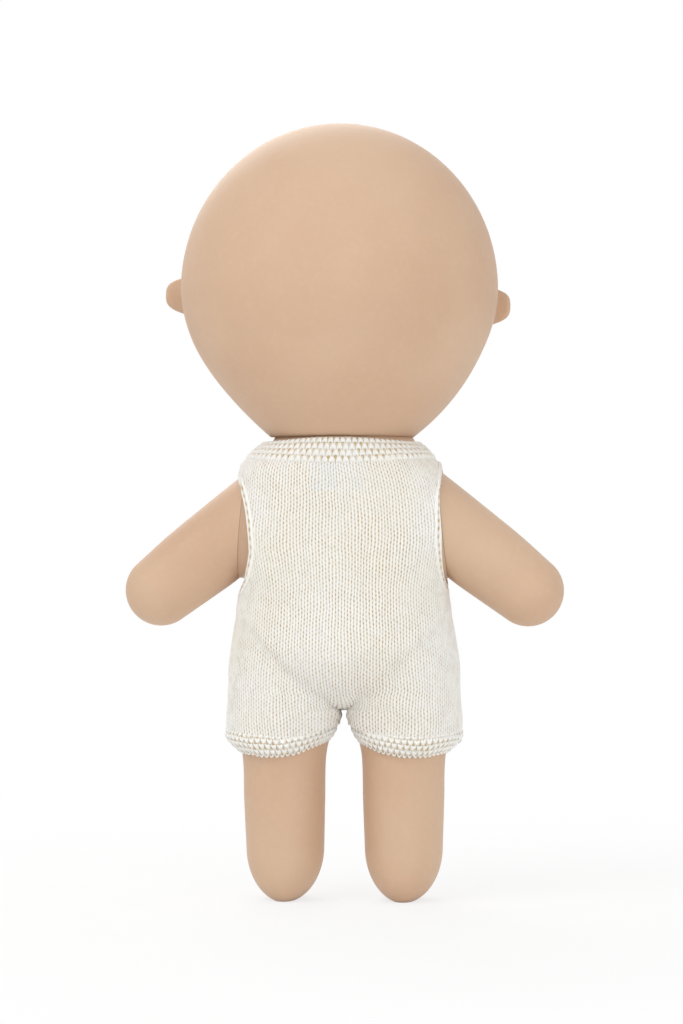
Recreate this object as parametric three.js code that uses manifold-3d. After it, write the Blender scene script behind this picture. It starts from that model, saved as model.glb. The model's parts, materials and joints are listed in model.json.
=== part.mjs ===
// Baby doll in a knitted romper: a hollow moulded head, torso, two arms and two legs, held together by
// flanged studs that snap through holes in the torso wall, and a fitted cotton romper over them.
// Millimetres and degrees. The doll faces -Y with +Z up, and stands on the origin.

import * as THREE from 'three';
import { mergeVertices } from 'three/addons/utils/BufferGeometryUtils.js';
import Module from 'manifold-3d';

const wasm = await Module();
wasm.setup();

// Driving dimensions of the body
const hipHeight = 94; // sole to the middle of the hip seat
const hipSpread = 22; // middle plane to the middle of the hip seat
const hipSlope = 45; // hip axis below the horizontal
const hipRadius = 24;
const shoulderDrop = 33.35; // seat under the head down to the shoulder middle
const shoulderSpread = 38.3;
const shoulderSlope = 5; // shoulder axis above the horizontal
const armDrop = 38; // arm below the horizontal
const armRadius = 15.25; // at the shoulder, square to the arm
const wristRadius = 13.8;
const armLength = 41.6; // shoulder middle to the middle of the round hand
const thighWidth = 38.6;
const thighDepth = 42.4;
const kneeWidth = 31.4;
const kneeDepth = 32.4;
const legSpread = 1; // the lower leg's middle outside the hip's
const ankleHeight = 20.6; // where the leg starts to round into the foot
const ankleWidth = 30.2;
const footDepth = 35;
const toeReach = 3; // the foot's middle ahead of the leg's
const soleDrop = 1; // cut off the round foot to make the flat sole
const neckRise = 84.7; // hip middle to the seat under the head
const neckRadius = 26.7;
const chestWidth = 78.8; // at the shoulders
const chestDepth = 54.4;
const waistWidth = 77.2;
const waistDepth = 55.2;
const bottomWidth = 82.4;
const bottomDepth = 57.2;
const bottomBack = 1; // the bottom's middle behind the neck's
const bottomRise = 6; // hip middle up to the level where the torso starts to round in
const bottomDrop = 23.7; // from that level down to the crotch
const bottomFullness = 3; // how squarely the bottom turns under, where 2 is an ellipse

// Driving dimensions of the head
const headWidth = 122.6;
const headDepth = 110;
const jawDrop = 56.8; // widest level down to the neck
const crownRise = 64.2; // widest level up to the crown
const jawHeight = 73; // where the jaw's curve would close
const jawBend = 1.85;
const jawRoundness = 0.8;
const faceDepthStart = 0.72; // share of the jaw above which the head has its full flattening
const earHeight = 14;
const earDepth = 8.4;
const earReach = 5.6; // out of the head's side
const earRoot = 8; // half-width of the ear's round body
const earDrop = 3.6; // below the head's widest level
const earForward = 12;
const earCup = 2.2; // depth of the hollow in the front of the ear
const noseReach = 2.6; // out of the face
const noseWidth = 9;
const noseHeight = 7;
const noseDrop = 16; // below the head's widest level

// Walls, joints and running clearances
const wall = 3;
const clearance = 0.3;
const armStud = 9;
const armFlange = 12.6;
const legStud = 11;
const legFlange = 14.8;
const neckStud = 17.7;
const neckFlange = 21.2;
const studWall = 3.6; // rubber left between a stud's bore and its outside
const flangeThickness = 2.6;
const flangeBevel = 1;

// The romper
const easement = 0.4; // knit clear of the skin
const knitThickness = 1.6;
const bandThickness = 2.4; // garter edging, thicker than the plain knit
const neckBandHeight = 8;
const neckBandTop = 1.4; // below the seat of the head
const armholeEase = 0.8; // armhole edge outside the shoulder's rim
const armholeBandWidth = 3.9;
const hemHeight = 7.6;
const hemEdge = 56.5; // lowest edge of the legs above the floor
const legEase = 1.45; // knit clear of the thigh at the top of the hem
const hemSpread = 1.2; // the hem's middle outside the leg's
const labelWidth = 21;
const labelHeight = 11;
const labelThickness = 0.4;
const labelDrop = 1.2; // top of the label below the neck band

// Facets
const headSides = 34;
const torsoSides = 30;
const limbSides = 22;
const hollowSides = 14;
const turnedSides = 16;
const neckSides = 24;

const radians = THREE.MathUtils.degToRad;
const between = THREE.MathUtils.lerp;
const forward = new THREE.Vector3(0, -1, 0);

const hipCentre = new THREE.Vector3(hipSpread, 0, hipHeight);
const hipAxis = new THREE.Vector3(Math.cos(radians(hipSlope)), 0, -Math.sin(radians(hipSlope)));
const shoulderRise = neckRise - shoulderDrop;
const shoulderCentre = new THREE.Vector3(shoulderSpread, 0, hipHeight + shoulderRise);
const shoulderAxis = new THREE.Vector3(
  Math.cos(radians(shoulderSlope)),
  0,
  Math.sin(radians(shoulderSlope)),
);
const neckSeat = hipHeight + neckRise;
const headFloor = neckSeat + clearance;
const headLevel = headFloor + jawDrop;
const shoulderRadius = armRadius / Math.cos(radians(armDrop + shoulderSlope));

// The nose reaches further forward than the back of the head reaches back, so the head moves back by
// half the difference, which keeps the doll's box centred on its neck.
const noseTip = headDepth / 2 * jawShare(noseDrop) + noseReach;
const headShift = Math.max(0, (noseTip - headDepth / 2) / 2);

// Solids

function solidOf(geometry) {
  const bare = new THREE.BufferGeometry();
  bare.setAttribute('position', geometry.getAttribute('position').clone());
  bare.setIndex(geometry.getIndex());
  const merged = mergeVertices(bare, 1e-4);
  return new wasm.Manifold(new wasm.Mesh({
    numProp: 3,
    vertProperties: new Float32Array(merged.getAttribute('position').array),
    triVerts: new Uint32Array(merged.getIndex().array),
  }));
}

function geometryOf(solid) {
  const mesh = solid.getMesh();
  const geometry = new THREE.BufferGeometry();
  geometry.setAttribute('position', new THREE.BufferAttribute(mesh.vertProperties, 3));
  geometry.setIndex(new THREE.BufferAttribute(mesh.triVerts, 1));
  geometry.computeVertexNormals();
  return geometry;
}

// A closed solid through rings of points that run anticlockwise about the way from the first ring to the last
function loft(rings) {
  const sides = rings[0].length;
  const points = rings.flat();
  const index = [];
  for (let i = 0; i < rings.length - 1; i++) {
    for (let j = 0; j < sides; j++) {
      const a = i * sides + j;
      const b = i * sides + (j + 1) % sides;
      index.push(a, b, a + sides, b, b + sides, a + sides);
    }
  }
  const last = (rings.length - 1) * sides;
  for (let j = 1; j < sides - 1; j++) {
    index.push(0, j + 1, j);
    index.push(last, last + j, last + j + 1);
  }
  const geometry = new THREE.BufferGeometry().setFromPoints(points);
  geometry.setIndex(index);
  return solidOf(geometry);
}

// A ring with two half-widths, rounder or squarer by its power, where 2 is an ellipse
function ring(centre, across, along, halfAcross, halfAlong, sides, power = 2) {
  const bend = (value) => Math.sign(value) * Math.abs(value) ** (2 / power);
  return Array.from({ length: sides }, (_, i) => {
    const angle = 2 * Math.PI * i / sides;
    return centre.clone()
      .addScaledVector(across, halfAcross * bend(Math.cos(angle)))
      .addScaledVector(along, halfAlong * bend(Math.sin(angle)));
  });
}

// Stations of a form, as rows of a distance and its values, read smoothly at any distance
function smooth(stations) {
  const width = stations[0].length - 1;
  const distances = stations.map((row) => row[0]);
  const values = stations.flatMap((row) => row.slice(1));
  const reader = new THREE.CubicInterpolant(distances, values, width);
  return (distance) => Array.from(reader.evaluate(distance));
}

const steps = (count, from, to) =>
  Array.from({ length: count + 1 }, (_, i) => from + (to - from) * i / count);

// A profile of [radius, distance] turned about an axis from a point
function turned(profile, point, axis, sides = turnedSides) {
  const outline = [...profile, profile[0]].map(([radius, distance]) => new THREE.Vector2(radius, distance));
  const geometry = new THREE.LatheGeometry(outline, sides);
  geometry.applyQuaternion(new THREE.Quaternion().setFromUnitVectors(new THREE.Vector3(0, 1, 0), axis));
  geometry.translate(point.x, point.y, point.z);
  const solid = solidOf(geometry);
  if (solid.volume() > 0) return solid;
  geometry.setIndex(Array.from(geometry.getIndex().array).reverse());
  return solidOf(geometry);
}

function cylinder(radius, point, axis, from, to, sides = turnedSides) {
  const geometry = new THREE.CylinderGeometry(radius, radius, to - from, sides);
  geometry.translate(0, (from + to) / 2, 0);
  geometry.applyQuaternion(new THREE.Quaternion().setFromUnitVectors(new THREE.Vector3(0, 1, 0), axis));
  geometry.translate(point.x, point.y, point.z);
  return solidOf(geometry);
}

function block(low, high) {
  const geometry = new THREE.BoxGeometry(high[0] - low[0], high[1] - low[1], high[2] - low[2]);
  geometry.translate((low[0] + high[0]) / 2, (low[1] + high[1]) / 2, (low[2] + high[2]) / 2);
  return solidOf(geometry);
}

// All the space ahead of a plane, as a block far larger than the doll
function beyond(point, axis, distance = 0) {
  const reach = 4 * (headLevel + crownRise);
  const geometry = new THREE.BoxGeometry(reach, reach, reach);
  geometry.translate(0, reach / 2, 0);
  geometry.applyQuaternion(new THREE.Quaternion().setFromUnitVectors(new THREE.Vector3(0, 1, 0), axis));
  const origin = point.clone().addScaledVector(axis, distance);
  geometry.translate(origin.x, origin.y, origin.z);
  return solidOf(geometry);
}

const bothSides = (solid) => solid.add(mirrored(solid));

function mirrored(solid) {
  const mesh = solid.getMesh();
  const points = mesh.vertProperties.map((value, i) => (i % 3 ? value : -value));
  const faces = Uint32Array.from(mesh.triVerts).reverse();
  return new wasm.Manifold(new wasm.Mesh({ numProp: 3, vertProperties: points, triVerts: faces }));
}

function ellipsoid(centre, radii, across = 16, down = 10) {
  const geometry = new THREE.SphereGeometry(1, across, down);
  geometry.scale(radii[0], radii[1], radii[2]);
  geometry.translate(centre[0], centre[1], centre[2]);
  return solidOf(geometry);
}

// Head

// The head's half-width as a share of its widest, this far below the widest level
function jawShare(drop) {
  return (1 - (drop / jawHeight) ** jawBend) ** jawRoundness;
}

// A level of the head, with the surface moved out by a growth
function headRing(height, share, growth, sides) {
  const jaw = THREE.MathUtils.clamp((headLevel - height) / jawDrop, 0, 1);
  const fullness = 1 - THREE.MathUtils.smoothstep(jaw, 1 - faceDepthStart, 1);
  const halfWidth = headWidth / 2 * share;
  const roundDepth = halfWidth;
  const flatDepth = halfWidth * headDepth / headWidth;
  const halfDepth = between(roundDepth, flatDepth, fullness);
  const centre = new THREE.Vector3(0, headShift * fullness, height);
  return ring(centre, X, Y, halfWidth + growth, halfDepth + growth, sides);
}

const X = new THREE.Vector3(1, 0, 0);
const Y = new THREE.Vector3(0, 1, 0);
const Z = new THREE.Vector3(0, 0, 1);

function headForm(growth, sides, jawSteps, crownSteps) {
  const jaw = steps(jawSteps, jawDrop, 0).slice(0, -1)
    .map((drop) => headRing(headLevel - drop, jawShare(drop), growth, sides));
  const crown = steps(crownSteps, 0, Math.PI / 2).slice(0, -1).map((angle) => {
    const halfWidth = headWidth / 2 + growth;
    const share = Math.cos(angle) * halfWidth / (headWidth / 2);
    return headRing(headLevel + (crownRise + growth) * Math.sin(angle), share, 0, sides);
  });
  const top = new THREE.Vector3(0, headShift, headLevel + crownRise + growth);
  const tip = ring(top, X, Y, sides / 100, sides / 100, sides);
  return loft([...jaw, ...crown, tip]);
}

function ear() {
  const centre = [headWidth / 2 + earReach - earRoot, headShift - earForward, headLevel - earDrop];
  const body = ellipsoid(centre, [earRoot, earDepth / 2, earHeight / 2]);
  const cup = ellipsoid(
    [centre[0] + earRoot / 4, centre[1] - earDepth / 2, centre[2]],
    [earRoot / 2, earCup, earHeight / 4],
    12,
    8,
  );
  return body.subtract(cup);
}

function head() {
  const nose = ellipsoid(
    [0, headShift - noseTip + noseReach, headLevel - noseDrop],
    [noseWidth / 2, noseReach, noseHeight / 2],
  );
  const hollow = headForm(-wall, hollowSides + 8, 6, 5).subtract(beyond(
    new THREE.Vector3(0, 0, headFloor + wall),
    Z.clone().negate(),
  ));
  const floor = new THREE.Vector3(0, 0, headFloor);
  const hole = cylinder(neckStud + clearance, floor, Z, -wall, 2 * wall, neckSides);
  return headForm(0, headSides, 10, 9).add(bothSides(ear())).add(nose).subtract(hollow).subtract(hole);
}

// Torso

// Height above the hips, half-width, half-depth, distance back, squareness. The waist rises from the bottom
// to the shoulders, and above them the sides close in on the neck.
const waistRow = (rise, share, back, power) => [
  bottomRise + rise * (shoulderRise - bottomRise),
  between(waistWidth, bottomWidth, share) / 2,
  between(waistDepth, bottomDepth, share) / 2,
  back * bottomBack,
  power,
];
const slopeRow = (rise, share, power) => [
  shoulderRise + rise * shoulderDrop,
  between(neckRadius, chestWidth / 2, share),
  between(neckRadius, chestDepth / 2, share),
  0,
  power,
];
const torsoAt = smooth([
  waistRow(0, 1, 1, 2.4),
  waistRow(0.18, 0.5, 0.6, 2.4),
  waistRow(0.35, 0, 0.2, 2.6),
  waistRow(0.62, 0, 0, 3),
  slopeRow(0, 1, 3.3),
  slopeRow(0.44, 0.86, 3),
  slopeRow(0.68, 0.59, 2.6),
  slopeRow(0.845, 0.23, 2.2),
  slopeRow(1, 0, 2),
]);

function torsoForm(growth, sides, roundSteps, sideSteps) {
  const level = (height, drop) => {
    const [halfWidth, halfDepth, back, power] = torsoAt(height);
    const share = (1 - drop ** bottomFullness) ** (1 / bottomFullness);
    const centre = new THREE.Vector3(0, back, hipHeight + height - (bottomDrop + growth) * drop);
    return ring(centre, X, Y, (halfWidth + growth) * share, (halfDepth + growth) * share, sides, power);
  };
  const bottom = steps(roundSteps, radians(84), 0).slice(0, -1)
    .map((angle) => level(bottomRise, Math.sin(angle)));
  const upper = steps(sideSteps, bottomRise, neckRise).map((height) => level(height, 0));
  return loft([...bottom, ...upper]);
}

function torso() {
  const hipBoss = cylinder(hipRadius, hipCentre, hipAxis, -hipRadius, 0, limbSides);
  const shoulderBoss = cylinder(shoulderRadius, shoulderCentre, shoulderAxis, -shoulderRadius, 0, limbSides);
  const outside = torsoForm(0, torsoSides, 5, 12)
    .add(bothSides(hipBoss.add(shoulderBoss)))
    .subtract(bothSides(beyond(hipCentre, hipAxis).add(beyond(shoulderCentre, shoulderAxis))));
  const hipRoom = cylinder(hipRadius - wall, hipCentre, hipAxis, -hipRadius, 0, hollowSides);
  const shoulderRoom = cylinder(
    shoulderRadius - wall,
    shoulderCentre,
    shoulderAxis,
    -shoulderRadius,
    0,
    hollowSides,
  );
  const hollow = torsoForm(-wall, hollowSides + 6, 3, 7)
    .add(bothSides(hipRoom.add(shoulderRoom)))
    .subtract(bothSides(beyond(hipCentre, hipAxis, -wall).add(beyond(shoulderCentre, shoulderAxis, -wall))))
    .subtract(beyond(new THREE.Vector3(0, 0, neckSeat - wall), Z));
  const holes = bothSides(
    cylinder(legStud + clearance, hipCentre, hipAxis, -2 * wall, wall)
      .add(cylinder(armStud + clearance, shoulderCentre, shoulderAxis, -2 * wall, wall)),
  );
  const seat = new THREE.Vector3(0, 0, neckSeat);
  const flangeBase = clearance + wall + clearance;
  const neck = turned(studProfile(neckStud, neckFlange, -wall, flangeBase), seat, Z, neckSides);
  const bore = cylinder(neckStud - studWall, seat, Z, -2 * wall, flangeBase, neckSides);
  return outside.subtract(hollow).subtract(holes).add(neck).subtract(bore);
}

// A hollow stud with a bevelled flange: it starts inside its own wall and the flange starts past the other
function studProfile(stud, flange, start, flangeBase) {
  const tip = flangeBase + flangeThickness;
  return [
    [stud - studWall, start],
    [stud, start],
    [stud, flangeBase],
    [flange, flangeBase],
    [flange, tip - flangeBevel],
    [flange - flangeBevel, tip],
    [stud - studWall, tip],
  ];
}

// Limbs

// A limb leaves its seat along a direction. Each station holds a distance from the seat, the half-width
// outward, the half-depth, the shift outward and back, and how far the ring is sheared towards the seat.
function limbForm(limb, growth, sides, ringCount, endCount) {
  const { centre, axis, along, outward, stations, end } = limb;
  const stationAt = smooth(stations);
  const last = stations.at(-1)[0];
  const level = (distance, values, lift, share, deep) => {
    const [halfWidth, halfDepth, shiftOut, shiftBack, shear] = values;
    const middle = centre.clone()
      .addScaledVector(axis, clearance * (1 - distance / last))
      .addScaledVector(along, distance + lift)
      .addScaledVector(outward, shiftOut)
      .addScaledVector(Y, shiftBack);
    const across = outward.clone().addScaledVector(along, -shear);
    return ring(middle, across, forward, (halfWidth + growth) * share, (halfDepth + growth) * deep, sides);
  };
  const tube = steps(ringCount, 0, last).map((distance) => level(distance, stationAt(distance), 0, 1, 1));
  const round = steps(endCount, 0, end.sweep).slice(1).map((angle) => {
    const rise = Math.sin(angle);
    const deep = (1 - rise ** end.depthPower) ** (1 / end.depthPower);
    return level(last, stationAt(last), (end.height + growth) * rise, Math.cos(angle), deep);
  });
  return loft([...tube, ...round]);
}

function limb(parts, stud, flange, endCount) {
  const { centre, axis, seatRadius } = parts;
  const outside = limbForm(parts, 0, limbSides, 9, endCount);
  const hollow = limbForm(parts, -wall, hollowSides, 5, 3)
    .subtract(beyond(centre, axis.clone().negate(), -clearance - wall));
  const inward = axis.clone().negate();
  const flangeBase = wall + clearance;
  const root = turned(studProfile(stud, flange, -clearance - wall, flangeBase), centre, inward);
  const bore = cylinder(stud - studWall, centre, axis, -flangeBase - flangeThickness, seatRadius / 2);
  return outside.subtract(hollow).add(root).subtract(bore);
}

// An arm from its wrist's width to its widest, and from its own depth to the shoulder's
const armRow = (reach, width, depth, shear) => [
  reach * armLength,
  between(wristRadius, armRadius, width),
  between(armRadius, shoulderRadius, depth),
  0,
  0,
  shear,
];

const armAlong = new THREE.Vector3(Math.cos(radians(armDrop)), 0, -Math.sin(radians(armDrop)));
const armParts = {
  centre: shoulderCentre,
  axis: shoulderAxis,
  seatRadius: shoulderRadius,
  along: armAlong,
  outward: new THREE.Vector3(-armAlong.z, 0, armAlong.x),
  stations: [
    armRow(0, 1, 1, Math.tan(radians(armDrop + shoulderSlope))),
    armRow(0.19, 1, 0.56, 0.62),
    armRow(0.385, 0.9, 0.17, 0.31),
    armRow(0.577, 0.76, 0, 0),
    [armLength, wristRadius, wristRadius, 0, 0, 0],
  ],
  end: { height: wristRadius, sweep: radians(86), depthPower: 2 },
};

// A leg from the hip's size to the thigh's, and from the thigh's to the knee's
const legFall = hipHeight - ankleHeight;
const seatHalfWidth = hipRadius * Math.sin(radians(hipSlope));
const upperLeg = (fall, width, depth, spread, shear) => [
  fall * legFall,
  between(seatHalfWidth, thighWidth / 2, width),
  between(hipRadius, thighDepth / 2, depth),
  spread * legSpread,
  0,
  shear,
];
const lowerLeg = (fall, width, depth, spread, toe, shear) => [
  fall * legFall,
  between(thighWidth, kneeWidth, width) / 2,
  between(thighDepth, kneeDepth, depth) / 2,
  spread * legSpread,
  -toe * toeReach,
  shear,
];

const legParts = {
  centre: hipCentre,
  axis: hipAxis,
  seatRadius: hipRadius,
  along: new THREE.Vector3(0, 0, -1),
  outward: X,
  stations: [
    upperLeg(0, 0, 0, 0, Math.tan(radians(90 - hipSlope))),
    upperLeg(0.123, 0.7, 0.36, 0.7, 0.72),
    upperLeg(0.245, 1, 1, 1.4, 0.42),
    lowerLeg(0.368, 0.3, 0.46, 1.3, 0, 0.16),
    lowerLeg(0.518, 0.86, 0.84, 1, 0, 0),
    lowerLeg(0.749, 1, 1, 1, 0.2, 0),
    [legFall, ankleWidth / 2, footDepth / 2, legSpread, -toeReach, 0],
  ],
  end: {
    height: ankleHeight + soleDrop,
    sweep: Math.asin(ankleHeight / (ankleHeight + soleDrop)),
    depthPower: 3.6,
  },
};

// Romper

const torsoBand = (from, to) => torsoForm(to, torsoSides, 5, 12).subtract(torsoForm(from, torsoSides, 5, 12));

const ahead = (distance) => beyond(new THREE.Vector3(0, -distance, 0), forward);
const behind = (distance) => beyond(new THREE.Vector3(0, distance, 0), Y);
const above = (height) => beyond(new THREE.Vector3(0, 0, height), Z);
const below = (height) => beyond(new THREE.Vector3(0, 0, height), Z.clone().negate());

const bandTop = neckSeat - neckBandTop;
const bandFoot = bandTop - neckBandHeight;
const armholeRadius = shoulderRadius + armholeEase;

const armholes = (growth) => bothSides(cylinder(
  armholeRadius + growth,
  shoulderCentre,
  shoulderAxis,
  -shoulderSpread / 2,
  shoulderSpread,
  limbSides,
));

function bodice() {
  const seats = bothSides(
    beyond(hipCentre, hipAxis, -clearance / 2).add(beyond(shoulderCentre, shoulderAxis, -clearance)),
  );
  return torsoBand(easement, easement + knitThickness)
    .subtract(seats)
    .subtract(armholes(armholeBandWidth + clearance))
    .subtract(above(bandFoot - clearance));
}

function label() {
  const top = bandFoot - labelDrop;
  const patch = (growth) => block(
    [-labelWidth / 2 - growth, 0, top - labelHeight - growth],
    [labelWidth / 2 + growth, hipSpread + headDepth, top + growth],
  );
  const inside = easement + clearance / 2;
  const tag = torsoBand(inside, inside + labelThickness).intersect(patch(0));
  const pocket = torsoForm(inside + labelThickness + clearance, torsoSides, 5, 12)
    .intersect(patch(clearance));
  return { tag, pocket };
}

function neckBand() {
  return torsoBand(easement, easement + bandThickness).subtract(above(bandTop)).subtract(below(bandFoot));
}

function armholeBand() {
  const right = beyond(new THREE.Vector3(0, 0, 0), X.clone().negate());
  return torsoBand(easement, easement + bandThickness)
    .intersect(armholes(armholeBandWidth))
    .subtract(armholes(0))
    .subtract(right)
    .subtract(above(bandFoot - clearance))
    .subtract(beyond(shoulderCentre, shoulderAxis, -clearance));
}

// Each leg of the romper follows the thigh down from the hip seat and hangs wider at its hem
const hemTop = hemEdge + hemHeight;
const hemFall = hipHeight - hemTop;
const rompFall = hipHeight - hemEdge;

function rompLeg(growth) {
  const [, seat, ...thigh] = [null, ...legParts.stations];
  const kept = thigh.filter(([distance]) => distance < hemFall);
  const flare = (distance) => THREE.MathUtils.smoothstep(distance, 0, hemFall);
  const looser = ([distance, halfWidth, halfDepth, shiftOut, ...rest]) => [
    distance,
    halfWidth + legEase * flare(distance),
    halfDepth + legEase * flare(distance),
    shiftOut + hemSpread * flare(distance),
    ...rest,
  ];
  const thighAt = smooth(legParts.stations);
  const atHem = (distance) => looser([distance, ...thighAt(distance)]);
  return limbForm({
    ...legParts,
    stations: [seat, ...kept.map(looser), atHem(hemFall), atHem(rompFall)],
    end: { height: 1, sweep: radians(1), depthPower: 2 },
  }, growth, limbSides, 7, 1);
}

function rompLegKnit() {
  return rompLeg(easement + knitThickness)
    .subtract(rompLeg(easement))
    .subtract(below(hemTop + clearance))
    .subtract(beyond(hipCentre, hipAxis.clone().negate(), -1.5 * clearance));
}

// The hem is a rolled garter edge that turns in below
function rompHem() {
  const thighAt = smooth(legParts.stations);
  const level = (height, growth, lean) => {
    const [halfWidth, halfDepth, shiftOut, shiftBack] = thighAt(hipHeight - height);
    const middle = hipCentre.clone().setZ(height)
      .addScaledVector(X, shiftOut + lean * hemSpread)
      .addScaledVector(Y, shiftBack);
    const ease = easement + lean * legEase + growth;
    return ring(middle, X, Y, halfWidth + ease, halfDepth + ease, limbSides);
  };
  const profile = (growth) => [[1, 1], [1, 1], [0.6, 0.8], [0.2, 0.3]].map(([lean, share], i, all) =>
    level(hemTop - hemHeight * i / (all.length - 1), growth * share, lean));
  const outside = profile(bandThickness);
  const inside = profile(0);
  return loft(outside.reverse()).subtract(loft([
    inside.at(-1).map((point) => point.clone().setZ(hemEdge - 1)),
    ...inside.reverse(),
    inside.at(-1).map((point) => point.clone().setZ(hemTop + 1)),
  ]));
}

// Materials

const skin = () => new THREE.MeshStandardMaterial({ color: 0xdab89b, roughness: 0.62, metalness: 0 });
const knit = () => new THREE.MeshStandardMaterial({ color: 0xf2eadb, roughness: 0.95, metalness: 0 });
const garter = () => new THREE.MeshStandardMaterial({ color: 0xf0e8d6, roughness: 0.95, metalness: 0 });
const tape = () => new THREE.MeshStandardMaterial({ color: 0xe9e6df, roughness: 0.8, metalness: 0 });

// Assembly

const doll = new THREE.Group();

function place(name, solid, material) {
  const mesh = new THREE.Mesh(geometryOf(solid), material());
  mesh.name = name;
  doll.add(mesh);
}

function placePair(name, solid, material) {
  place(name + '_left', solid, material);
  place(name + '_right', mirrored(solid), material);
}

const { tag, pocket } = label();
const wholeBodice = bodice();
const wholeLeg = rompLegKnit();

place('head', head(), skin);
place('torso', torso(), skin);
placePair('arm', limb(armParts, armStud, armFlange, 5), skin);
placePair('leg', limb(legParts, legStud, legFlange, 5), skin);
place('romper_back', wholeBodice.subtract(ahead(-clearance / 2)).subtract(pocket), knit);
place('romper_front', wholeBodice.subtract(behind(-clearance / 2)), knit);
place('romper_neck_band', neckBand(), garter);
placePair('romper_armhole_band', armholeBand(), garter);
placePair('romper_leg_back', wholeLeg.subtract(ahead(-clearance / 2)), knit);
placePair('romper_leg_front', wholeLeg.subtract(behind(-clearance / 2)), knit);
placePair('romper_leg_hem', rompHem(), garter);
place('romper_label', tag, tape);

export default doll;
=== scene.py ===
"""Baby doll in a knitted romper: smooth rubber mouldings and stitched knitwear over the packed frame."""

import json
import math

import bmesh
import bpy
import numpy as np
from bpy.props import FloatProperty, FloatVectorProperty, IntProperty, PointerProperty
from bpy.types import Operator, Panel, PropertyGroup
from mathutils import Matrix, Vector


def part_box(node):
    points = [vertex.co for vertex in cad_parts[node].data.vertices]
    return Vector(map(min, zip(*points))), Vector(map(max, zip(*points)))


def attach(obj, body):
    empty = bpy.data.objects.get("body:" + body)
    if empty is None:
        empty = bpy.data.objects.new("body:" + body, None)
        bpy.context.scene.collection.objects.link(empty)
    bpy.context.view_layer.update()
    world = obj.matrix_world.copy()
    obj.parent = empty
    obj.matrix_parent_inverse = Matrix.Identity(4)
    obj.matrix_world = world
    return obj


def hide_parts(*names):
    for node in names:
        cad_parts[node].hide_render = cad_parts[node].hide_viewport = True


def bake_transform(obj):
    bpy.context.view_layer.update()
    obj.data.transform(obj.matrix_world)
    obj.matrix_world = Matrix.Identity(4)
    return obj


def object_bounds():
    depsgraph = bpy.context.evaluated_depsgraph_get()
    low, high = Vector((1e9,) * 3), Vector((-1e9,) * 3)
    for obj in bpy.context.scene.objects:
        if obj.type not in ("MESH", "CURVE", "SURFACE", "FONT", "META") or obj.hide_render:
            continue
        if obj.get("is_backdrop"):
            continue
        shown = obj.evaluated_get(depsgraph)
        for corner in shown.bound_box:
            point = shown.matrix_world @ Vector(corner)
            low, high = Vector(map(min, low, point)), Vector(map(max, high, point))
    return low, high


bl_info = {
    "name": "Knitted Romper Doll",
    "version": (1, 0, 0),
    "blender": (4, 5, 0),
    "location": "3D View > Sidebar > Doll",
    "description": "Builds a moulded baby doll and its stocking-stitch romper over a packed frame",
    "category": "Add Mesh",
}

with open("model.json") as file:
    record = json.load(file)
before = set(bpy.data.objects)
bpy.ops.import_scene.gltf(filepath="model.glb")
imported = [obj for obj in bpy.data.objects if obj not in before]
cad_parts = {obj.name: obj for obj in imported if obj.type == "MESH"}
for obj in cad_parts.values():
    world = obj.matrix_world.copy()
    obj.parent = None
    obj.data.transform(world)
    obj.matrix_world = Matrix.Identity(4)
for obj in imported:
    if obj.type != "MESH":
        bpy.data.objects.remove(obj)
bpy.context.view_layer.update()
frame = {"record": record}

MM = 0.001
BACKWARD = np.array([0, 1, 0])
JOINTS = {joint["name"]: joint for joint in frame["record"]["behaviour"]["joints"]}

# Places in the frame, in millimetres
HIP = np.array(JOINTS["hip_left"]["pos_m"]) / MM
HIP_AXIS = -np.array(JOINTS["hip_left"]["axis"])
SHOULDER = np.array(JOINTS["shoulder_left"]["pos_m"]) / MM
SHOULDER_AXIS = -np.array(JOINTS["shoulder_left"]["axis"])
NECK_SEAT = JOINTS["neck"]["pos_m"][2] / MM
HEAD_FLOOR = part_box("head")[0][2] / MM
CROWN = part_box("head")[1][2] / MM
HEM_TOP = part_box("romper_leg_hem_left")[1][2] / MM
BAND_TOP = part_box("romper_neck_band")[1][2] / MM
BAND_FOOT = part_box("romper_neck_band")[0][2] / MM

# Forms under the cloth, in millimetres
NECK_RADIUS = 26.7
BOTTOM_RISE = 6.0
BOTTOM_DROP = 23.7
BOTTOM_ROUND = 2.1
CHEST = (39.4, 27.2)
WAIST = (38.6, 27.6)
BOTTOM = (41.2, 28.6)
ARM_RADIUS = 15.25
WRIST_RADIUS = 13.8
ARM_LENGTH = 41.6
ARM_DROP = math.radians(38)
ANKLE_HEIGHT = 20.6
SOLE_DROP = 1.0
SEAT_GAP = 0.3
HIP_RADIUS = 24.0
SHOULDER_TILT = math.radians(43)
SHOULDER_RADIUS = ARM_RADIUS / math.cos(SHOULDER_TILT)

# Radii of each stud and of its flange, and the stud's wall and the flange's thickness, in millimetres
NECK_STUD = (17.7, 21.2)
ARM_STUD = (9, 12.6)
LEG_STUD = (11, 14.8)
STUD_WALL = 3.6
FLANGE_THICKNESS = 2.6

# How this doll's head differs from an even one, in millimetres: each ear's share of the reach, how far one
# ear sits forward and the other back, and how far the head has slipped to the left
EAR_STRETCH = {"left": 1.22, "right": 0.84}
EAR_TWIST = 4.0
HEAD_SHIFT = 1.7

# Fixed colours
WHITE = (1, 1, 1)
PALE_SKIN = (0.73, 0.56, 0.41)
# Painted highlight in each eye
PAINTED_EYE_GLINT = (0.9, 0.9, 0.9)
WARM_COTTON = (0.985, 0.97, 0.925)
LABEL_SHOWING = (0.80, 0.81, 0.80)
FLOOR = ((0.86, 0.86, 0.86), (0.88, 0.88, 0.88))


# Settings

def size(name, description, default):
    return FloatProperty(name=name, description=description, default=default, min=0, unit="LENGTH",
                         precision=4)


def share(name, description, default, low=0.0, high=1.0):
    return FloatProperty(name=name, description=description, default=default, min=low, max=high)


def lamp_power(name, description, default):
    return FloatProperty(name=name, description=description, default=default, min=0, unit="POWER")


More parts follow.
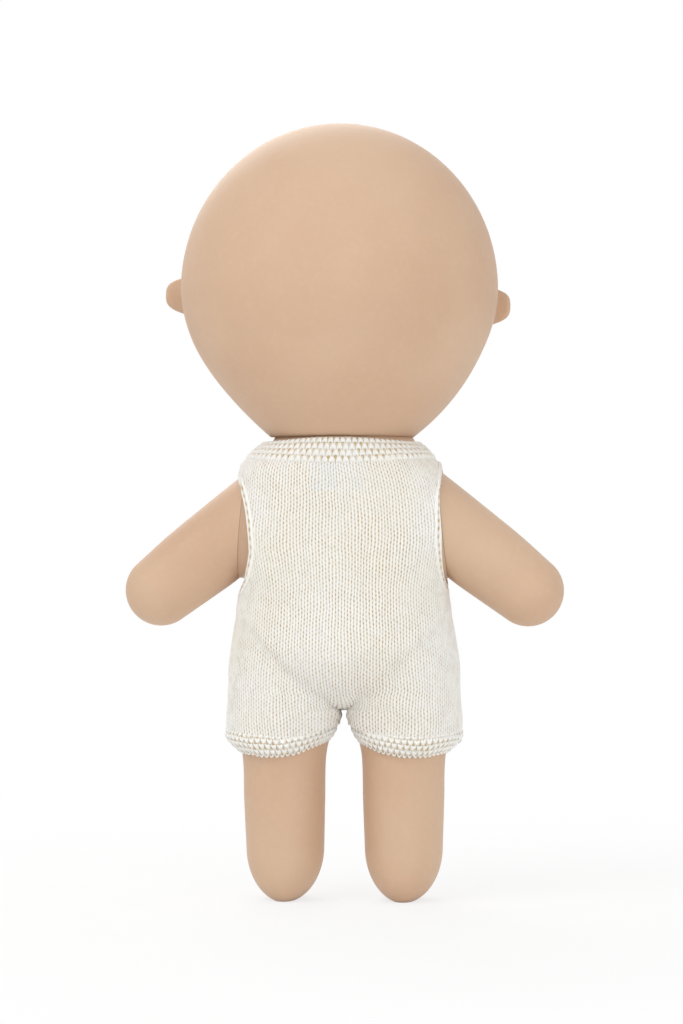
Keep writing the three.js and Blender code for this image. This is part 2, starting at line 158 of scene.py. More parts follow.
def colour(name, description, default):
    return FloatVectorProperty(name=name, description=description, default=default, size=3, min=0, max=1,
                               subtype="COLOR")


class SkinSettings(PropertyGroup):
    """The moulded rubber"""
    tone: colour("Skin", "Colour of the moulded rubber", (0.637, 0.445, 0.305))
    warm: colour("Warm skin", "Colour where the rubber is a little redder", (0.60, 0.395, 0.262))
    blush: colour("Blush", "Sprayed colour on the cheeks", (0.72, 0.30, 0.24))
    eye: colour("Eyes", "Painted colour of the eyes", (0.035, 0.022, 0.018))
    mouth: colour("Mouth", "Painted colour of the mouth", (0.50, 0.16, 0.14))
    roughness: share("Roughness", "Roughness of the rubber", 0.52)


class HeadSettings(PropertyGroup):
    """The head moulding"""
    width: size("Width", "Width of the head without its ears", 0.1226)
    depth: size("Depth", "Front to back", 0.110)
    jaw_drop: size("Jaw", "Widest level down to the neck", 0.0568)
    jaw_height: size("Jaw curve", "Widest level down to where the jaw's curve would close", 0.073)
    ear_height: size("Ear height", "Height of an ear", 0.0141)
    ear_depth: size("Ear depth", "Front to back of an ear", 0.0096)
    ear_reach: size("Ear reach", "How far an ear stands out", 0.0056)
    ear_drop: size("Ear drop", "Ear below the widest level", 0.0036)
    ear_forward: size("Ear forward", "Ear ahead of the middle of the head", 0.012)
    lean: FloatProperty(name="Lean", description="How far the head leans to its right",
                        default=math.radians(1.45), subtype="ANGLE")
    nose_reach: size("Nose reach", "How far the nose stands out", 0.0026)
    eye_spread: size("Eye spread", "Middle of the face to an eye", 0.017)


class KnitSettings(PropertyGroup):
    """The romper's knitting"""
    wales: IntProperty(name="Wales", description="Stitches across a quarter of the romper", default=25, min=4)
    courses: IntProperty(name="Courses", description="Rows from the neck to the hem", default=74, min=8)
    relief: size("Relief", "Depth of the stitches", 0.00055)
    ease: size("Ease", "Outside of the knitting clear of the skin", 0.0020)
    leg_ease: size("Leg ease", "More ease at the hem of a leg", 0.00145)
    hem_spread: size("Hem spread", "Middle of a hem outside the middle of its leg", 0.0012)
    yarn: colour("Yarn", "Colour of the cotton", (0.905, 0.90, 0.87))
    # Skin seen between the stitches, darkened as painted shade in the hollows
    shade: colour("Hollows", "Colour between the stitches, where skin shows", (0.56, 0.39, 0.17))
    tape: colour("Label tape", "Colour of the bare label", (0.50, 0.50, 0.49))


class StageSettings(PropertyGroup):
    """Floor, lamps and camera"""
    distance: size("Camera distance", "Camera to the middle of the doll", 1.3)
    height: size("Camera height", "Camera above the floor", 0.150)
    aim: FloatProperty(name="Camera aim", description="Sideways place of the picture's middle",
                       default=0.00097, unit="LENGTH")
    turn: FloatProperty(name="Camera turn", description="Camera round from straight behind",
                        default=math.radians(4), subtype="ANGLE")
    frame_height: size("Picture height", "Height of the picture at the doll", 0.3959)
    key: lamp_power("Key lamp", "Power of the main lamp", 5.6)
    fill: lamp_power("Fill lamp", "Power of the fill lamp", 3.3)
    glow: share("Surround", "Strength of the light from all round", 0.73, 0, 4)


# Forms

def station_reader(rows):
    """Rows of a distance and its values, read smoothly at any distance."""
    rows = np.array(rows, float)
    places, values = rows[:, 0], rows[:, 1:]
    rises = np.diff(values, axis=0) / np.diff(places)[:, None]
    slopes = np.vstack([rises[:1], (rises[:-1] + rises[1:]) / 2, rises[-1:]])

    def read(distance):
        distance = np.clip(np.asarray(distance, float), places[0], places[-1])
        i = np.clip(np.searchsorted(places, distance, side="right") - 1, 0, len(places) - 2)
        step = (places[i + 1] - places[i])[..., None]
        p = (distance - places[i])[..., None] / step
        start = (1 + 2 * p) * (1 - p) ** 2 * values[i] + p * (1 - p) ** 2 * step * slopes[i]
        end = p * p * (3 - 2 * p) * values[i + 1] - p * p * (1 - p) * step * slopes[i + 1]
        return np.moveaxis(start + end, -1, 0)
    return read


def between(low, high, part):
    """The value that lies this part of the way from low to high."""
    return low + (high - low) * part


def smooth_step(value, low, high):
    """Rises gently from 0 at low to 1 at high."""
    part = np.clip((value - low) / (high - low), 0, 1)
    return part * part * (3 - 2 * part)


def smooth_min(a, b, width):
    """The smaller of two values, rounded over where they differ by less than a width."""
    near = np.clip(width - np.abs(a - b), 0, None) / width
    return np.minimum(a, b) - near ** 3 * width / 6


def smooth_max(a, b, width):
    return -smooth_min(-a, -b, width)


SHOULDER_RISE = SHOULDER[2] - HIP[2]
NECK_RISE = NECK_SEAT - HIP[2]


def waist_row(rise, part, back, power):
    return (between(BOTTOM_RISE, SHOULDER_RISE, rise), between(WAIST[0], BOTTOM[0], part),
            between(WAIST[1], BOTTOM[1], part), back, power)


def slope_row(rise, part, power):
    return (between(SHOULDER_RISE, NECK_RISE, rise), between(NECK_RADIUS, CHEST[0], part),
            between(NECK_RADIUS, CHEST[1], part), 0, power)


# Height above the hips, half-width, half-depth, distance back, squareness
torso_at = station_reader([
    waist_row(0, 1, 1, 2.4),
    waist_row(0.18, 0.5, 0.6, 2.4),
    waist_row(0.35, 0, 0.2, 2.6),
    waist_row(0.62, 0, 0, 3),
    slope_row(0, 1, 3.3),
    slope_row(0.44, 0.86, 3),
    slope_row(0.68, 0.59, 2.6),
    slope_row(0.845, 0.23, 2.2),
    slope_row(1, 0, 2),
])


# Height under the neck seat, and how much further the cloth stands off the side of the body
strap_at = station_reader([
    (-84, 0), (-76, -0.5), (-68, -0.5), (-62, -1.0), (-56, -1.1), (-48, -0.4), (-42, 0),
    (-25, 0), (-19, 0.6), (-13.7, 1.5), (-9.9, 2.0), (-6, 1.8), (-3.7, 0.9), (-1.2, -0.7), (0, -1)])


def power_ring(half_width, half_depth, turn, power=2.0):
    """A point of an oval with two half-widths at each turn from its wide side."""
    across, along = np.cos(turn), np.sin(turn)
    return (half_width * np.sign(across) * np.abs(across) ** (2 / power),
            half_depth * np.sign(along) * np.abs(along) ** (2 / power))


def torso_points(growth, levels, turns):
    """Rings of the torso from its bottom up, where a level under 0 is a drop round the bottom."""
    rise = np.clip(levels, 0, 1)
    drop = np.clip(-levels, 0, 1)
    height = between(BOTTOM_RISE, NECK_RISE, rise)
    half_width, half_depth, back, power = (values[:, None] for values in torso_at(height))
    closing = (1 - drop ** BOTTOM_ROUND) ** (1 / BOTTOM_ROUND)
    x, y = power_ring((half_width + growth) * closing[:, None], (half_depth + growth) * closing[:, None],
                      turns[None, :], power)
    z = HIP[2] + height - (BOTTOM_DROP + growth) * drop
    return np.stack([x, y + back, np.broadcast_to(z[:, None], x.shape)], -1)


def torso_gap(x, y, z, growth):
    """Roughly how far a point lies outside the torso and its loose shoulders."""
    half_width, half_depth, back, power = torso_at(np.maximum(z - HIP[2], BOTTOM_RISE))
    half_width = half_width + strap_at(z - NECK_SEAT)[0]
    level = (np.abs(x / (half_width + growth)) ** power
             + np.abs((y - back) / (half_depth + growth)) ** power) ** (1 / power)
    below = np.clip(HIP[2] + BOTTOM_RISE - z, 0, None)
    under = (below / (BOTTOM_DROP + growth)) ** BOTTOM_ROUND
    gauge = np.maximum((level ** BOTTOM_ROUND + under) ** (1 / BOTTOM_ROUND), 0.05)
    reach = np.sqrt(x * x + (y - back) ** 2 + below ** 2)
    return np.maximum(reach, 1) * (1 - 1 / gauge)


HIP_HALF = HIP_RADIUS * math.sin(math.radians(45))
THIGH = (19.3, 21.2)
KNEE = (15.7, 16.2)
ANKLE = (15.1, 17.5)
LEG_FALL = HIP[2] - ANKLE_HEIGHT

# Distance down, half-width, half-depth, shift outward and back, shear towards the seat
LEG_ROWS = [
    (0, HIP_HALF, HIP_RADIUS, 0, 0, 1),
    (0.123 * LEG_FALL, between(HIP_HALF, THIGH[0], 0.7), between(HIP_RADIUS, THIGH[1], 0.36), 0.7, 0, 0.72),
    (0.245 * LEG_FALL, THIGH[0], THIGH[1], 1.4, 0, 0.42),
    (0.368 * LEG_FALL, between(THIGH[0], KNEE[0], 0.3), between(THIGH[1], KNEE[1], 0.46), 1.3, 0, 0.16),
    (0.518 * LEG_FALL, between(THIGH[0], KNEE[0], 0.86), between(THIGH[1], KNEE[1], 0.84), 1, 0, 0),
    (0.749 * LEG_FALL, KNEE[0], KNEE[1], 1, -0.6, 0),
    (LEG_FALL, ANKLE[0], ANKLE[1], 1, -3, 0),
]
leg_at = station_reader(LEG_ROWS)

ARM_ROWS = [
    (0, ARM_RADIUS, SHOULDER_RADIUS, 0, 0, math.tan(SHOULDER_TILT)),
    (0.19 * ARM_LENGTH, ARM_RADIUS, between(ARM_RADIUS, SHOULDER_RADIUS, 0.56), 0, 0, 0.62),
    (0.385 * ARM_LENGTH, between(WRIST_RADIUS, ARM_RADIUS, 0.9), between(ARM_RADIUS, SHOULDER_RADIUS, 0.17),
     0, 0, 0.31),
    (0.577 * ARM_LENGTH, between(WRIST_RADIUS, ARM_RADIUS, 0.76), ARM_RADIUS, 0, 0, 0),
    (ARM_LENGTH, WRIST_RADIUS, WRIST_RADIUS, 0, 0, 0),
]


def limb_points(rows, centre, axis, along, outward, end_height, end_power, sweep, levels, end_levels, turns):
    """Rings of a limb from its seat to its end."""
    read = station_reader(rows)
    last = rows[-1][0]
    distance = levels * last

    def rings(distance, lift, closing, deep):
        half_width, half_depth, out, back, shear = read(distance)
        middle = (centre + axis * (SEAT_GAP * (1 - distance / last))[:, None]
                  + along * (distance + lift)[:, None] + outward * out[:, None]
                  + BACKWARD * back[:, None])
        across = outward - along * shear[:, None]
        x, y = power_ring((half_width * closing)[:, None], (half_depth * deep)[:, None], turns[None, :])
        return middle[:, None, :] + x[..., None] * across[:, None, :] - y[..., None] * BACKWARD

    tube = rings(distance, np.zeros_like(distance), np.ones_like(distance), np.ones_like(distance))
    rise = np.sin(end_levels * sweep)
    deep = (1 - rise ** end_power) ** (1 / end_power)
    end = rings(np.full_like(rise, last), end_height * rise, np.cos(end_levels * sweep), deep)
    return np.concatenate([tube, end[1:]])


# Meshes

def grid_faces(rows, columns, closed=False):
    """Quads over rows of points, anticlockwise where the columns run right and the rows run up."""
    index = np.arange(rows * columns).reshape(rows, columns)
    following = np.roll(index, -1, axis=1)
    width = columns if closed else columns - 1
    corners = [index[:-1, :width], following[:-1, :width], following[1:, :width], index[1:, :width]]
    return np.stack(corners, -1).reshape(-1, 4)


def make_object(name, points, faces, stitches=None):
    """A smooth object from points in millimetres and quads, with its stitch places as a UV map."""
    mesh = bpy.data.meshes.new(name)
    mesh.vertices.add(len(points))
    mesh.vertices.foreach_set("co", (np.asarray(points, float) * MM).ravel())
    mesh.loops.add(faces.size)
    mesh.loops.foreach_set("vertex_index", faces.astype(np.int32).ravel())
    mesh.polygons.add(len(faces))
    mesh.polygons.foreach_set("loop_start", np.arange(0, faces.size, faces.shape[1], dtype=np.int32))
    mesh.polygons.foreach_set("use_smooth", np.ones(len(faces), bool))
    if stitches is not None:
        layer = mesh.uv_layers.new(name="Stitches")
        layer.data.foreach_set("uv", stitches[faces.ravel()].astype(np.float32).ravel())
    mesh.update(calc_edges=True)
    mesh.validate()
    piece = bpy.data.objects.new(name, mesh)
    bpy.context.scene.collection.objects.link(piece)
    return piece


def edit_mesh(piece, change):
    """Changes a piece's mesh with a function of its bmesh."""
    bm = bmesh.new()
    bm.from_mesh(piece.data)
    change(bm)
    bm.normal_update()
    bm.to_mesh(piece.data)
    bm.free()
    piece.data.update()


def cut_away(bm, point, direction, fill=False):
    """Removes what lies ahead of a plane, in millimetres."""
    everything = bm.verts[:] + bm.edges[:] + bm.faces[:]
    cut = bmesh.ops.bisect_plane(bm, geom=everything, dist=1e-7, plane_co=Vector(point) * MM,
                                 plane_no=Vector(direction), clear_outer=True)
    if fill:
        rim = [item for item in cut["geom_cut"] if isinstance(item, bmesh.types.BMEdge)]
        bmesh.ops.holes_fill(bm, edges=rim, sides=0)


def cap_ends(bm):
    rim = [edge for edge in bm.edges if edge.is_boundary]
    bmesh.ops.holes_fill(bm, edges=rim, sides=0)


def close_ends(bm):
    """Fills the open ends and turns every face outward."""
    cap_ends(bm)
    bmesh.ops.recalc_face_normals(bm, faces=bm.faces)


def weld(bm, distance=1e-6):
    """Joins corners that share a place and turns every face outward."""
    bmesh.ops.remove_doubles(bm, verts=bm.verts, dist=distance)
    bmesh.ops.recalc_face_normals(bm, faces=bm.faces)


def soften_edges(piece, width, angle):
    """Rounds the edges of a piece that turn by more than an angle."""
    bevel = piece.modifiers.new("Round edges", "BEVEL")
    bevel.width = width
    bevel.segments = 3
    bevel.limit_method = "ANGLE"
    bevel.angle_limit = angle
    apply_modifiers(piece)


def apply_modifiers(piece):
    """Keeps what a piece's modifiers make of it, and removes them."""
    shown = piece.evaluated_get(bpy.context.evaluated_depsgraph_get())
    mesh = bpy.data.meshes.new_from_object(shown)
    piece.modifiers.clear()
    piece.data = mesh


def join_solids(piece, other, how):
    """Joins another object into a piece, or cuts it out, and removes the other."""
    join = piece.modifiers.new(how.title(), "BOOLEAN")
    join.operation = how
    join.object = other
    join.solver = "EXACT"
    apply_modifiers(piece)
    bpy.data.objects.remove(other)


def turned_object(name, profile, centre, axis, sides=96):
    """A closed profile of radius and distance turned about an axis."""
    axis = np.asarray(axis, float)
    side = np.cross(axis, [0, 1, 0]) if abs(axis[1]) < 0.9 else np.cross(axis, [1, 0, 0])
    side /= np.linalg.norm(side)
    other = np.cross(axis, side)
    turns = np.linspace(0, 2 * math.pi, sides, endpoint=False)
    profile = np.array(profile + profile[:1], float)
    rim = np.cos(turns)[:, None] * side + np.sin(turns)[:, None] * other
    points = (np.asarray(centre) + profile[:, None, 1:] * axis + profile[:, None, :1] * rim[None])
    piece = make_object(name, points.reshape(-1, 3), grid_faces(len(profile), sides, closed=True))
    edit_mesh(piece, weld)
    return piece


def solid_cylinder(name, radius, centre, axis, start, end, sides=128):
    axle = 0.0001
    profile = [(axle, start), (radius, start), (radius, end), (axle, end)]
    return turned_object(name, profile, centre, axis, sides)


def stud_profile(radii, start, base):
    """A hollow stud from its start to its base, and the flange on its tip with a broken edge."""
    stud, flange = radii
    bore, tip = stud - STUD_WALL, base + FLANGE_THICKNESS
    return [(bore, start), (stud, start), (stud, base), (flange, base), (flange, tip - 1),
            (flange - 1, tip), (bore, tip)]


def on_hand(hand):
    """Turns places and directions on the left into those on this hand, which is 1 or -1."""
    return np.array([hand, 1, 1])


def mirrored(points):
    return points * on_hand(-1)


def flip_faces(faces):
    return faces[:, ::-1]


def smooth_noise(shape, cells, seed):
    """Soft noise between -1 and 1 over a grid, with this many cells down and across."""
    picks = np.random.default_rng(seed).uniform(-1, 1, (cells[0] + 3, cells[1] + 3))
    down = np.linspace(0, cells[0], shape[0])
    over = np.linspace(0, cells[1], shape[1])

    def weights(place):
        part = place - np.floor(place)
        return np.stack([(1 - part) ** 3, 3 * part ** 3 - 6 * part ** 2 + 4,
                         -3 * part ** 3 + 3 * part ** 2 + 3 * part + 1, part ** 3], -1) / 6
    rows = np.minimum(np.floor(down).astype(int), cells[0] - 1)
    columns = np.minimum(np.floor(over).astype(int), cells[1] - 1)
    down, over = weights(down), weights(over)
    wide = sum(down[:, k][:, None] * picks[rows + k] for k in range(4))
    spread = 1.6
    return spread * sum(over[:, k][None] * wide[:, columns + k] for k in range(4))


def surface_normals(points):
    """Unit normals over a grid of points whose columns run right and rows run up, seen from outside."""
    across = np.gradient(points, axis=1)
    up = np.gradient(points, axis=0)
    normals = np.cross(across, up)
    return normals / np.maximum(np.linalg.norm(normals, axis=-1, keepdims=True), 1e-9)


# Materials

class Shading:
    """Adds nodes to a material in a few words."""

    def __init__(self, name):
        self.material = bpy.data.materials.new(name)
        self.material.use_nodes = True
        self.nodes = self.material.node_tree.nodes
        self.links = self.material.node_tree.links
        self.shader = self.nodes["Principled BSDF"]

    def add(self, kind, **values):
        node = self.nodes.new(kind)
        for key, value in values.items():
            setattr(node, key, value)
        return node

    def put(self, value, socket):
        """Links a socket, or sets a number or a colour."""
        if isinstance(value, bpy.types.NodeSocket):
            self.links.new(value, socket)
        elif hasattr(value, "__len__") and len(socket.default_value) == 4:
            socket.default_value = (*value[:3], 1)
        else:
            socket.default_value = value

    def math(self, operation, *values, clamp=False):
        node = self.add("ShaderNodeMath", operation=operation, use_clamp=clamp)
        for value, socket in zip(values, node.inputs):
            self.put(value, socket)
        return node.outputs[0]

    def mix(self, part, first, second, blend="MIX"):
        node = self.add("ShaderNodeMix", data_type="RGBA", blend_type=blend)
        self.put(part, node.inputs["Factor"])
        self.put(first, node.inputs["A"])
        self.put(second, node.inputs["B"])
        return node.outputs["Result"]

    def ramp(self, value, low, high, start=0.0, end=1.0):
        node = self.add("ShaderNodeMapRange", interpolation_type="SMOOTHSTEP")
        for given, key in ((value, "Value"), (low, "From Min"), (high, "From Max"), (start, "To Min"),
                           (end, "To Max")):
            self.put(given, node.inputs[key])
        return node.outputs["Result"]

    def places(self, kind="Object"):
        return self.add("ShaderNodeTexCoord").outputs[kind]

    def parts(self, vector):
        node = self.add("ShaderNodeSeparateXYZ")
        self.put(vector, node.inputs[0])
        return node.outputs

    def vector(self, x, y, z):
        node = self.add("ShaderNodeCombineXYZ")
        for value, socket in zip((x, y, z), node.inputs):
            self.put(value, socket)
        return node.outputs[0]

    def noise(self, vector, scale, detail=3.0, roughness=0.5):
        node = self.add("ShaderNodeTexNoise")
        self.put(vector, node.inputs["Vector"])
        node.inputs["Scale"].default_value = scale
        node.inputs["Detail"].default_value = detail
        node.inputs["Roughness"].default_value = roughness
        return node.outputs["Fac"]

    def random(self, vector):
        node = self.add("ShaderNodeTexWhiteNoise", noise_dimensions="3D")
        self.put(vector, node.inputs["Vector"])
        return node.outputs["Value"]

    def bump(self, height, distance, strength=1.0, under=None):
        node = self.add("ShaderNodeBump")
        node.inputs["Strength"].default_value = strength
        node.inputs["Distance"].default_value = distance
        self.put(height, node.inputs["Height"])
        if under is not None:
            self.put(under, node.inputs["Normal"])
        return node.outputs["Normal"]

    def finish(self, base, normal=None, **values):
        """Gives the shader its colour and relief, and any other inputs by name."""
        self.put(base, self.shader.inputs["Base Color"])
        if normal is not None:
            self.put(normal, self.shader.inputs["Normal"])
        for key, value in values.items():
            self.put(value, self.shader.inputs[key.replace("_", " ").title()])
        return self.material


def cover(piece, material):
    piece.data.materials.clear()
    piece.data.materials.append(material)


def hand_over(piece, material, node):
    """Covers a piece, and hides the node of the frame that it stands in for."""
    cover(piece, material)
    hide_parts(node)


def rubber(name, settings):
    """Matte peach rubber with soft mottling and the faint grain of its mould, before it is finished."""
    make = Shading(name)
    place = make.places()
    cloud = make.ramp(make.noise(place, 18, 3), 0.3, 0.7)
    speck = make.noise(place, 420, 2)
    base = make.mix(cloud, settings.tone, settings.warm)
    pale = make.mix(make.ramp(speck, 0.45, 0.75, 0, 0.10), base, PALE_SKIN)
    grain = make.bump(make.noise(place, 1500, 2), 0.00004, 0.6)
    normal = make.bump(make.noise(place, 60, 2), 0.00025, 0.5, grain)
    make.shader.inputs["Subsurface Weight"].default_value = 0.12
    make.shader.inputs["Subsurface Radius"].default_value = (1.0, 0.42, 0.22)
    make.shader.inputs["Subsurface Scale"].default_value = 0.0025
    make.shader.inputs["IOR"].default_value = 1.45
    make.shader.inputs["Roughness"].default_value = settings.roughness
    return make, pale, normal


def plain_rubber(name, settings):
    make, base, normal = rubber(name, settings)
    return make.finish(base, normal)


def painted_rubber(name, settings, head):
    """The rubber of the head, with its sprayed cheeks, painted eyes and mouth, and a painted highlight in
    each eye.
    """
    make, base, normal = rubber(name, settings)
    x, y, z = make.parts(make.places())
    side = make.math("ABSOLUTE", x)
    ahead = make.ramp(y, -0.02, -0.03)

    def spot(across, height, half_width, half_height, soft):
        over = make.math("DIVIDE", make.math("SUBTRACT", side, across), half_width)
        up = make.math("DIVIDE", make.math("SUBTRACT", z, height), half_height)
        away = make.math("SQRT", make.math("ADD", make.math("MULTIPLY", over, over),
                                           make.math("MULTIPLY", up, up)))
        return make.math("MULTIPLY", make.ramp(away, 1 + soft, 1 - soft), ahead)

    level = HEAD_FLOOR * MM + head.jaw_drop
    cheek = spot(across=0.026, height=level - 0.0235, half_width=0.013, half_height=0.011, soft=0.9)
    cheek = make.math("MULTIPLY", cheek, 0.28)
    eye = spot(across=head.eye_spread, height=level - 0.0115, half_width=0.0029, half_height=0.0036,
               soft=0.12)
    # A painted highlight: a small white dot in each eye
    painted_glint = spot(across=head.eye_spread - 0.0008, height=level - 0.0102, half_width=0.0008,
                 half_height=0.0009, soft=0.2)
    smile, mouth_drop = 40, 0.0295
    curve = make.math("MULTIPLY", make.math("MULTIPLY", x, x), smile)
    lift = make.math("SUBTRACT", make.math("SUBTRACT", z, level - mouth_drop), curve)
    line = make.ramp(make.math("ABSOLUTE", lift), 0.00075, 0.0004)
    mouth = make.math("MULTIPLY", make.math("MULTIPLY", line, make.ramp(side, 0.0062, 0.0052)), ahead)
    base = make.mix(cheek, base, settings.blush)
    base = make.mix(make.math("MULTIPLY", mouth, 0.85), base, settings.mouth)
    base = make.mix(eye, base, settings.eye)
    base = make.mix(painted_glint, base, PAINTED_EYE_GLINT)
    shine = make.ramp(eye, 0, 1, settings.roughness, 0.18)
    return make.finish(base, normal, roughness=shine)


# Rubber mouldings

def head_radius(settings, direction):
    """How far the head's surface lies from the middle of its widest level, along unit directions."""
    wide, deep = settings.width / MM / 2, settings.depth / MM / 2
    drop, closing = settings.jaw_drop / MM, settings.jaw_height / MM
    rise = CROWN - HEAD_FLOOR - drop

    def outside(reach):
        height = reach * direction[..., 2]
        below = np.clip(-height / closing, 0, 1)
        jaw = (1 - below ** 1.85) ** 0.8
        crown = np.sqrt(np.clip(1 - (np.clip(height, 0, None) / rise) ** 2, 0, 1))
        half_width = wide * np.where(height < 0, jaw, crown)
        fullness = 1 - smooth_step(np.clip(-height / drop, 0, 1), 0.28, 1)
        half_depth = half_width * between(1, deep / wide, fullness)
        span = (reach * direction[..., 0]) ** 2 / np.maximum(half_width, 1e-6) ** 2
        span += (reach * direction[..., 1]) ** 2 / np.maximum(half_depth, 1e-6) ** 2
        return (span > 1) | (height > rise)

    farthest, halvings = 90.0, 42
    low, high = np.zeros(direction.shape[:-1]), np.full(direction.shape[:-1], farthest)
    for _ in range(halvings):
        middle = (low + high) / 2
        out = outside(middle)
        low, high = np.where(out, low, middle), np.where(out, middle, high)
    return low


def raise_ear(points, settings, level, forward, stretch):
    """Moulds one ear on the side that faces +X, higher and further out the more it is stretched."""
    middle_y = -forward
    middle_z = level - settings.ear_drop / MM + 3 * (stretch - 1)
    half_height, half_depth = settings.ear_height / MM / 2, settings.ear_depth / MM / 2
    reach = settings.ear_reach / MM * stretch
    tip = settings.width / MM / 2 + reach
    up = (points[..., 2] - middle_z) / half_height
    over = (points[..., 1] - middle_y) / half_depth
    away = (np.abs(up) ** 2.5 + np.abs(over) ** 2.3) ** (1 / 2.4)
    dome = tip - 6.8 * (0.25 * away ** 2 + 0.75 * away ** 4)
    hollow = np.exp(-(((over + 0.45) / 0.34) ** 2 + ((up - 0.02) / 0.5) ** 2) ** 1.5)
    dome = dome - 2.4 * hollow
    near = (points[..., 0] > 0) & (away < 1.4)
    raised = smooth_max(points[..., 0], np.where(near, dome, -99), 2.2)
    lift = np.where(near, raised - points[..., 0], 0)
    points[..., 0] += lift
    points[..., 1] += 1.8 * np.clip(lift / reach, 0, 1.3) ** 1.5
    return points


def head_points(settings):
    """Rings of the head round the line from ear to ear, closest together where the ears are."""
    level = HEAD_FLOOR + settings.jaw_drop / MM
    near = np.radians(np.arange(0.0, 25, 0.36))
    far = np.radians(np.linspace(25, 90, 60))
    quarter = np.concatenate([near, far])
    polar = np.concatenate([quarter, math.pi - quarter[-2::-1]])
    polar[0], polar[-1] = 1e-4, math.pi - 1e-4
    round_ear = np.linspace(0, 2 * math.pi, 224, endpoint=False)
    direction = np.stack([
        np.broadcast_to(np.cos(polar)[:, None], (len(polar), len(round_ear))),
        np.sin(polar)[:, None] * np.sin(round_ear)[None],
        np.sin(polar)[:, None] * np.cos(round_ear)[None],
    ], -1)
    points = direction * head_radius(settings, direction)[..., None]
    points[..., 2] += level
    forward = settings.ear_forward / MM
    points = raise_ear(points, settings, level, forward - EAR_TWIST, EAR_STRETCH["left"])
    points = mirrored(raise_ear(mirrored(points), settings, level, forward + EAR_TWIST, EAR_STRETCH["right"]))

    # Nose, eye hollows, chin and a shallow mouth on the front
    face = smooth_step(-points[..., 1], 20, 34)
    across, height = points[..., 0], points[..., 2] - level
    nose = np.exp(-(((across / 4.4) ** 2 + ((height + 16) / 3.6) ** 2) ** 1.25))
    hollow = np.exp(-(((np.abs(across) - 17) / 9) ** 2 + ((height + 11) / 7) ** 2))
    chin = np.exp(-((across / 9) ** 2 + ((height + 38) / 6) ** 2))
    lip = np.exp(-((across / 6.5) ** 2 + ((height + 29.5) / 1.1) ** 2))
    relief = settings.nose_reach / MM * 1.05 * nose - 1.0 * hollow + 0.9 * chin - 0.5 * lip
    points[..., 1] -= relief * face

    # The head leans a little, and sits a little to one side of its neck
    pivot = level + 4
    x, z = points[..., 0].copy(), points[..., 2] - pivot
    points[..., 0] = x * math.cos(settings.lean) - z * math.sin(settings.lean)
    points[..., 0] += HEAD_SHIFT * smooth_step(z + settings.jaw_drop / MM, 0, 34)
    points[..., 2] = x * math.sin(settings.lean) + z * math.cos(settings.lean) + pivot
    return points


class DOLL_OT_head(Operator):
    """Build the head moulding with its ears, nose and painted face"""
    bl_idname = "doll.head"
    bl_label = "Head"
    bl_options = {"REGISTER", "UNDO"}

    def execute(self, context):
        settings = context.scene.doll_head
        points = head_points(settings)
        rows, columns = points.shape[:2]
        head = make_object("head_moulding", points.reshape(-1, 3), grid_faces(rows, columns, closed=True))

        def cut_floor(bm):
            weld(bm, 4e-5)
            cut_away(bm, (0, 0, HEAD_FLOOR), (0, 0, -1), fill=True)
        edit_mesh(head, cut_floor)
        opening = solid_cylinder("neck_opening", NECK_STUD[0] + 0.3, (0, 0, HEAD_FLOOR), (0, 0, 1), -3, 9)
        join_solids(head, opening, "DIFFERENCE")
        hand_over(head, painted_rubber("head_rubber", context.scene.doll_skin, settings), "head")
        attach(head, "head")
        return {"FINISHED"}


class DOLL_OT_torso(Operator):
    """Build the torso moulding with its seats and its neck stud"""
    bl_idname = "doll.torso"
    bl_label = "Torso"
    bl_options = {"REGISTER", "UNDO"}

    def execute(self, context):
        turns = np.linspace(0, 2 * math.pi, 128, endpoint=False)
        levels = np.concatenate([-np.sin(np.radians(np.linspace(89, 0, 24))[:-1]), np.linspace(0, 1, 60)])
        points = torso_points(0, levels, turns)
        faces = grid_faces(*points.shape[:2], closed=True)
        torso = make_object("torso_moulding", points.reshape(-1, 3), faces)
        edit_mesh(torso, cap_ends)
        seats = (("hip", HIP, HIP_AXIS, HIP_RADIUS), ("shoulder", SHOULDER, SHOULDER_AXIS, SHOULDER_RADIUS))
        for flip in (on_hand(1), on_hand(-1)):
            for name, centre, axis, radius in seats:
                boss = solid_cylinder(name + "_boss", radius, centre * flip, axis * flip, -radius, 0.5)
                join_solids(torso, boss, "UNION")
        edit_mesh(torso, trim_seats)
        round_leg_openings(torso)

        upright = (0, 0, 1)
        rim = solid_cylinder("neck_rim", NECK_RADIUS - 0.25, (0, 0, NECK_SEAT), upright, -1,
                             HEAD_FLOOR - NECK_SEAT)
        join_solids(torso, rim, "UNION")
        stud = turned_object("neck_stud", stud_profile(NECK_STUD, -2, 3.6), (0, 0, NECK_SEAT), upright)
        join_solids(torso, stud, "UNION")
        hand_over(torso, plain_rubber("torso_rubber", context.scene.doll_skin), "torso")
        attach(torso, "torso")
        return {"FINISHED"}


def trim_seats(bm):
    """Cuts the torso flat at its hips and shoulders."""
    for flip in (on_hand(1), on_hand(-1)):
        cut_away(bm, HIP * flip, HIP_AXIS * flip, fill=True)
        cut_away(bm, (SHOULDER + 0.2 * SHOULDER_AXIS) * flip, SHOULDER_AXIS * flip, fill=True)


def round_leg_openings(torso):
    """Draws in the torso round the hip seats, out of sight under the cloth."""
    for corner in torso.data.vertices:
        place = np.array(corner.co) / MM
        flip = on_hand(math.copysign(1, place[0]))
        away = place - HIP * flip
        depth = away @ (HIP_AXIS * flip)
        over = away - HIP_AXIS * flip * depth
        reach = np.linalg.norm(over)
        if -8 < depth and 18 < reach < 40:
            pull = 3.2 * (1 - min(1, max(0, -depth) / 8) ** 1.5) * smooth_step(reach, 18, 22)
            corner.co -= Vector(over / reach * pull * MM)


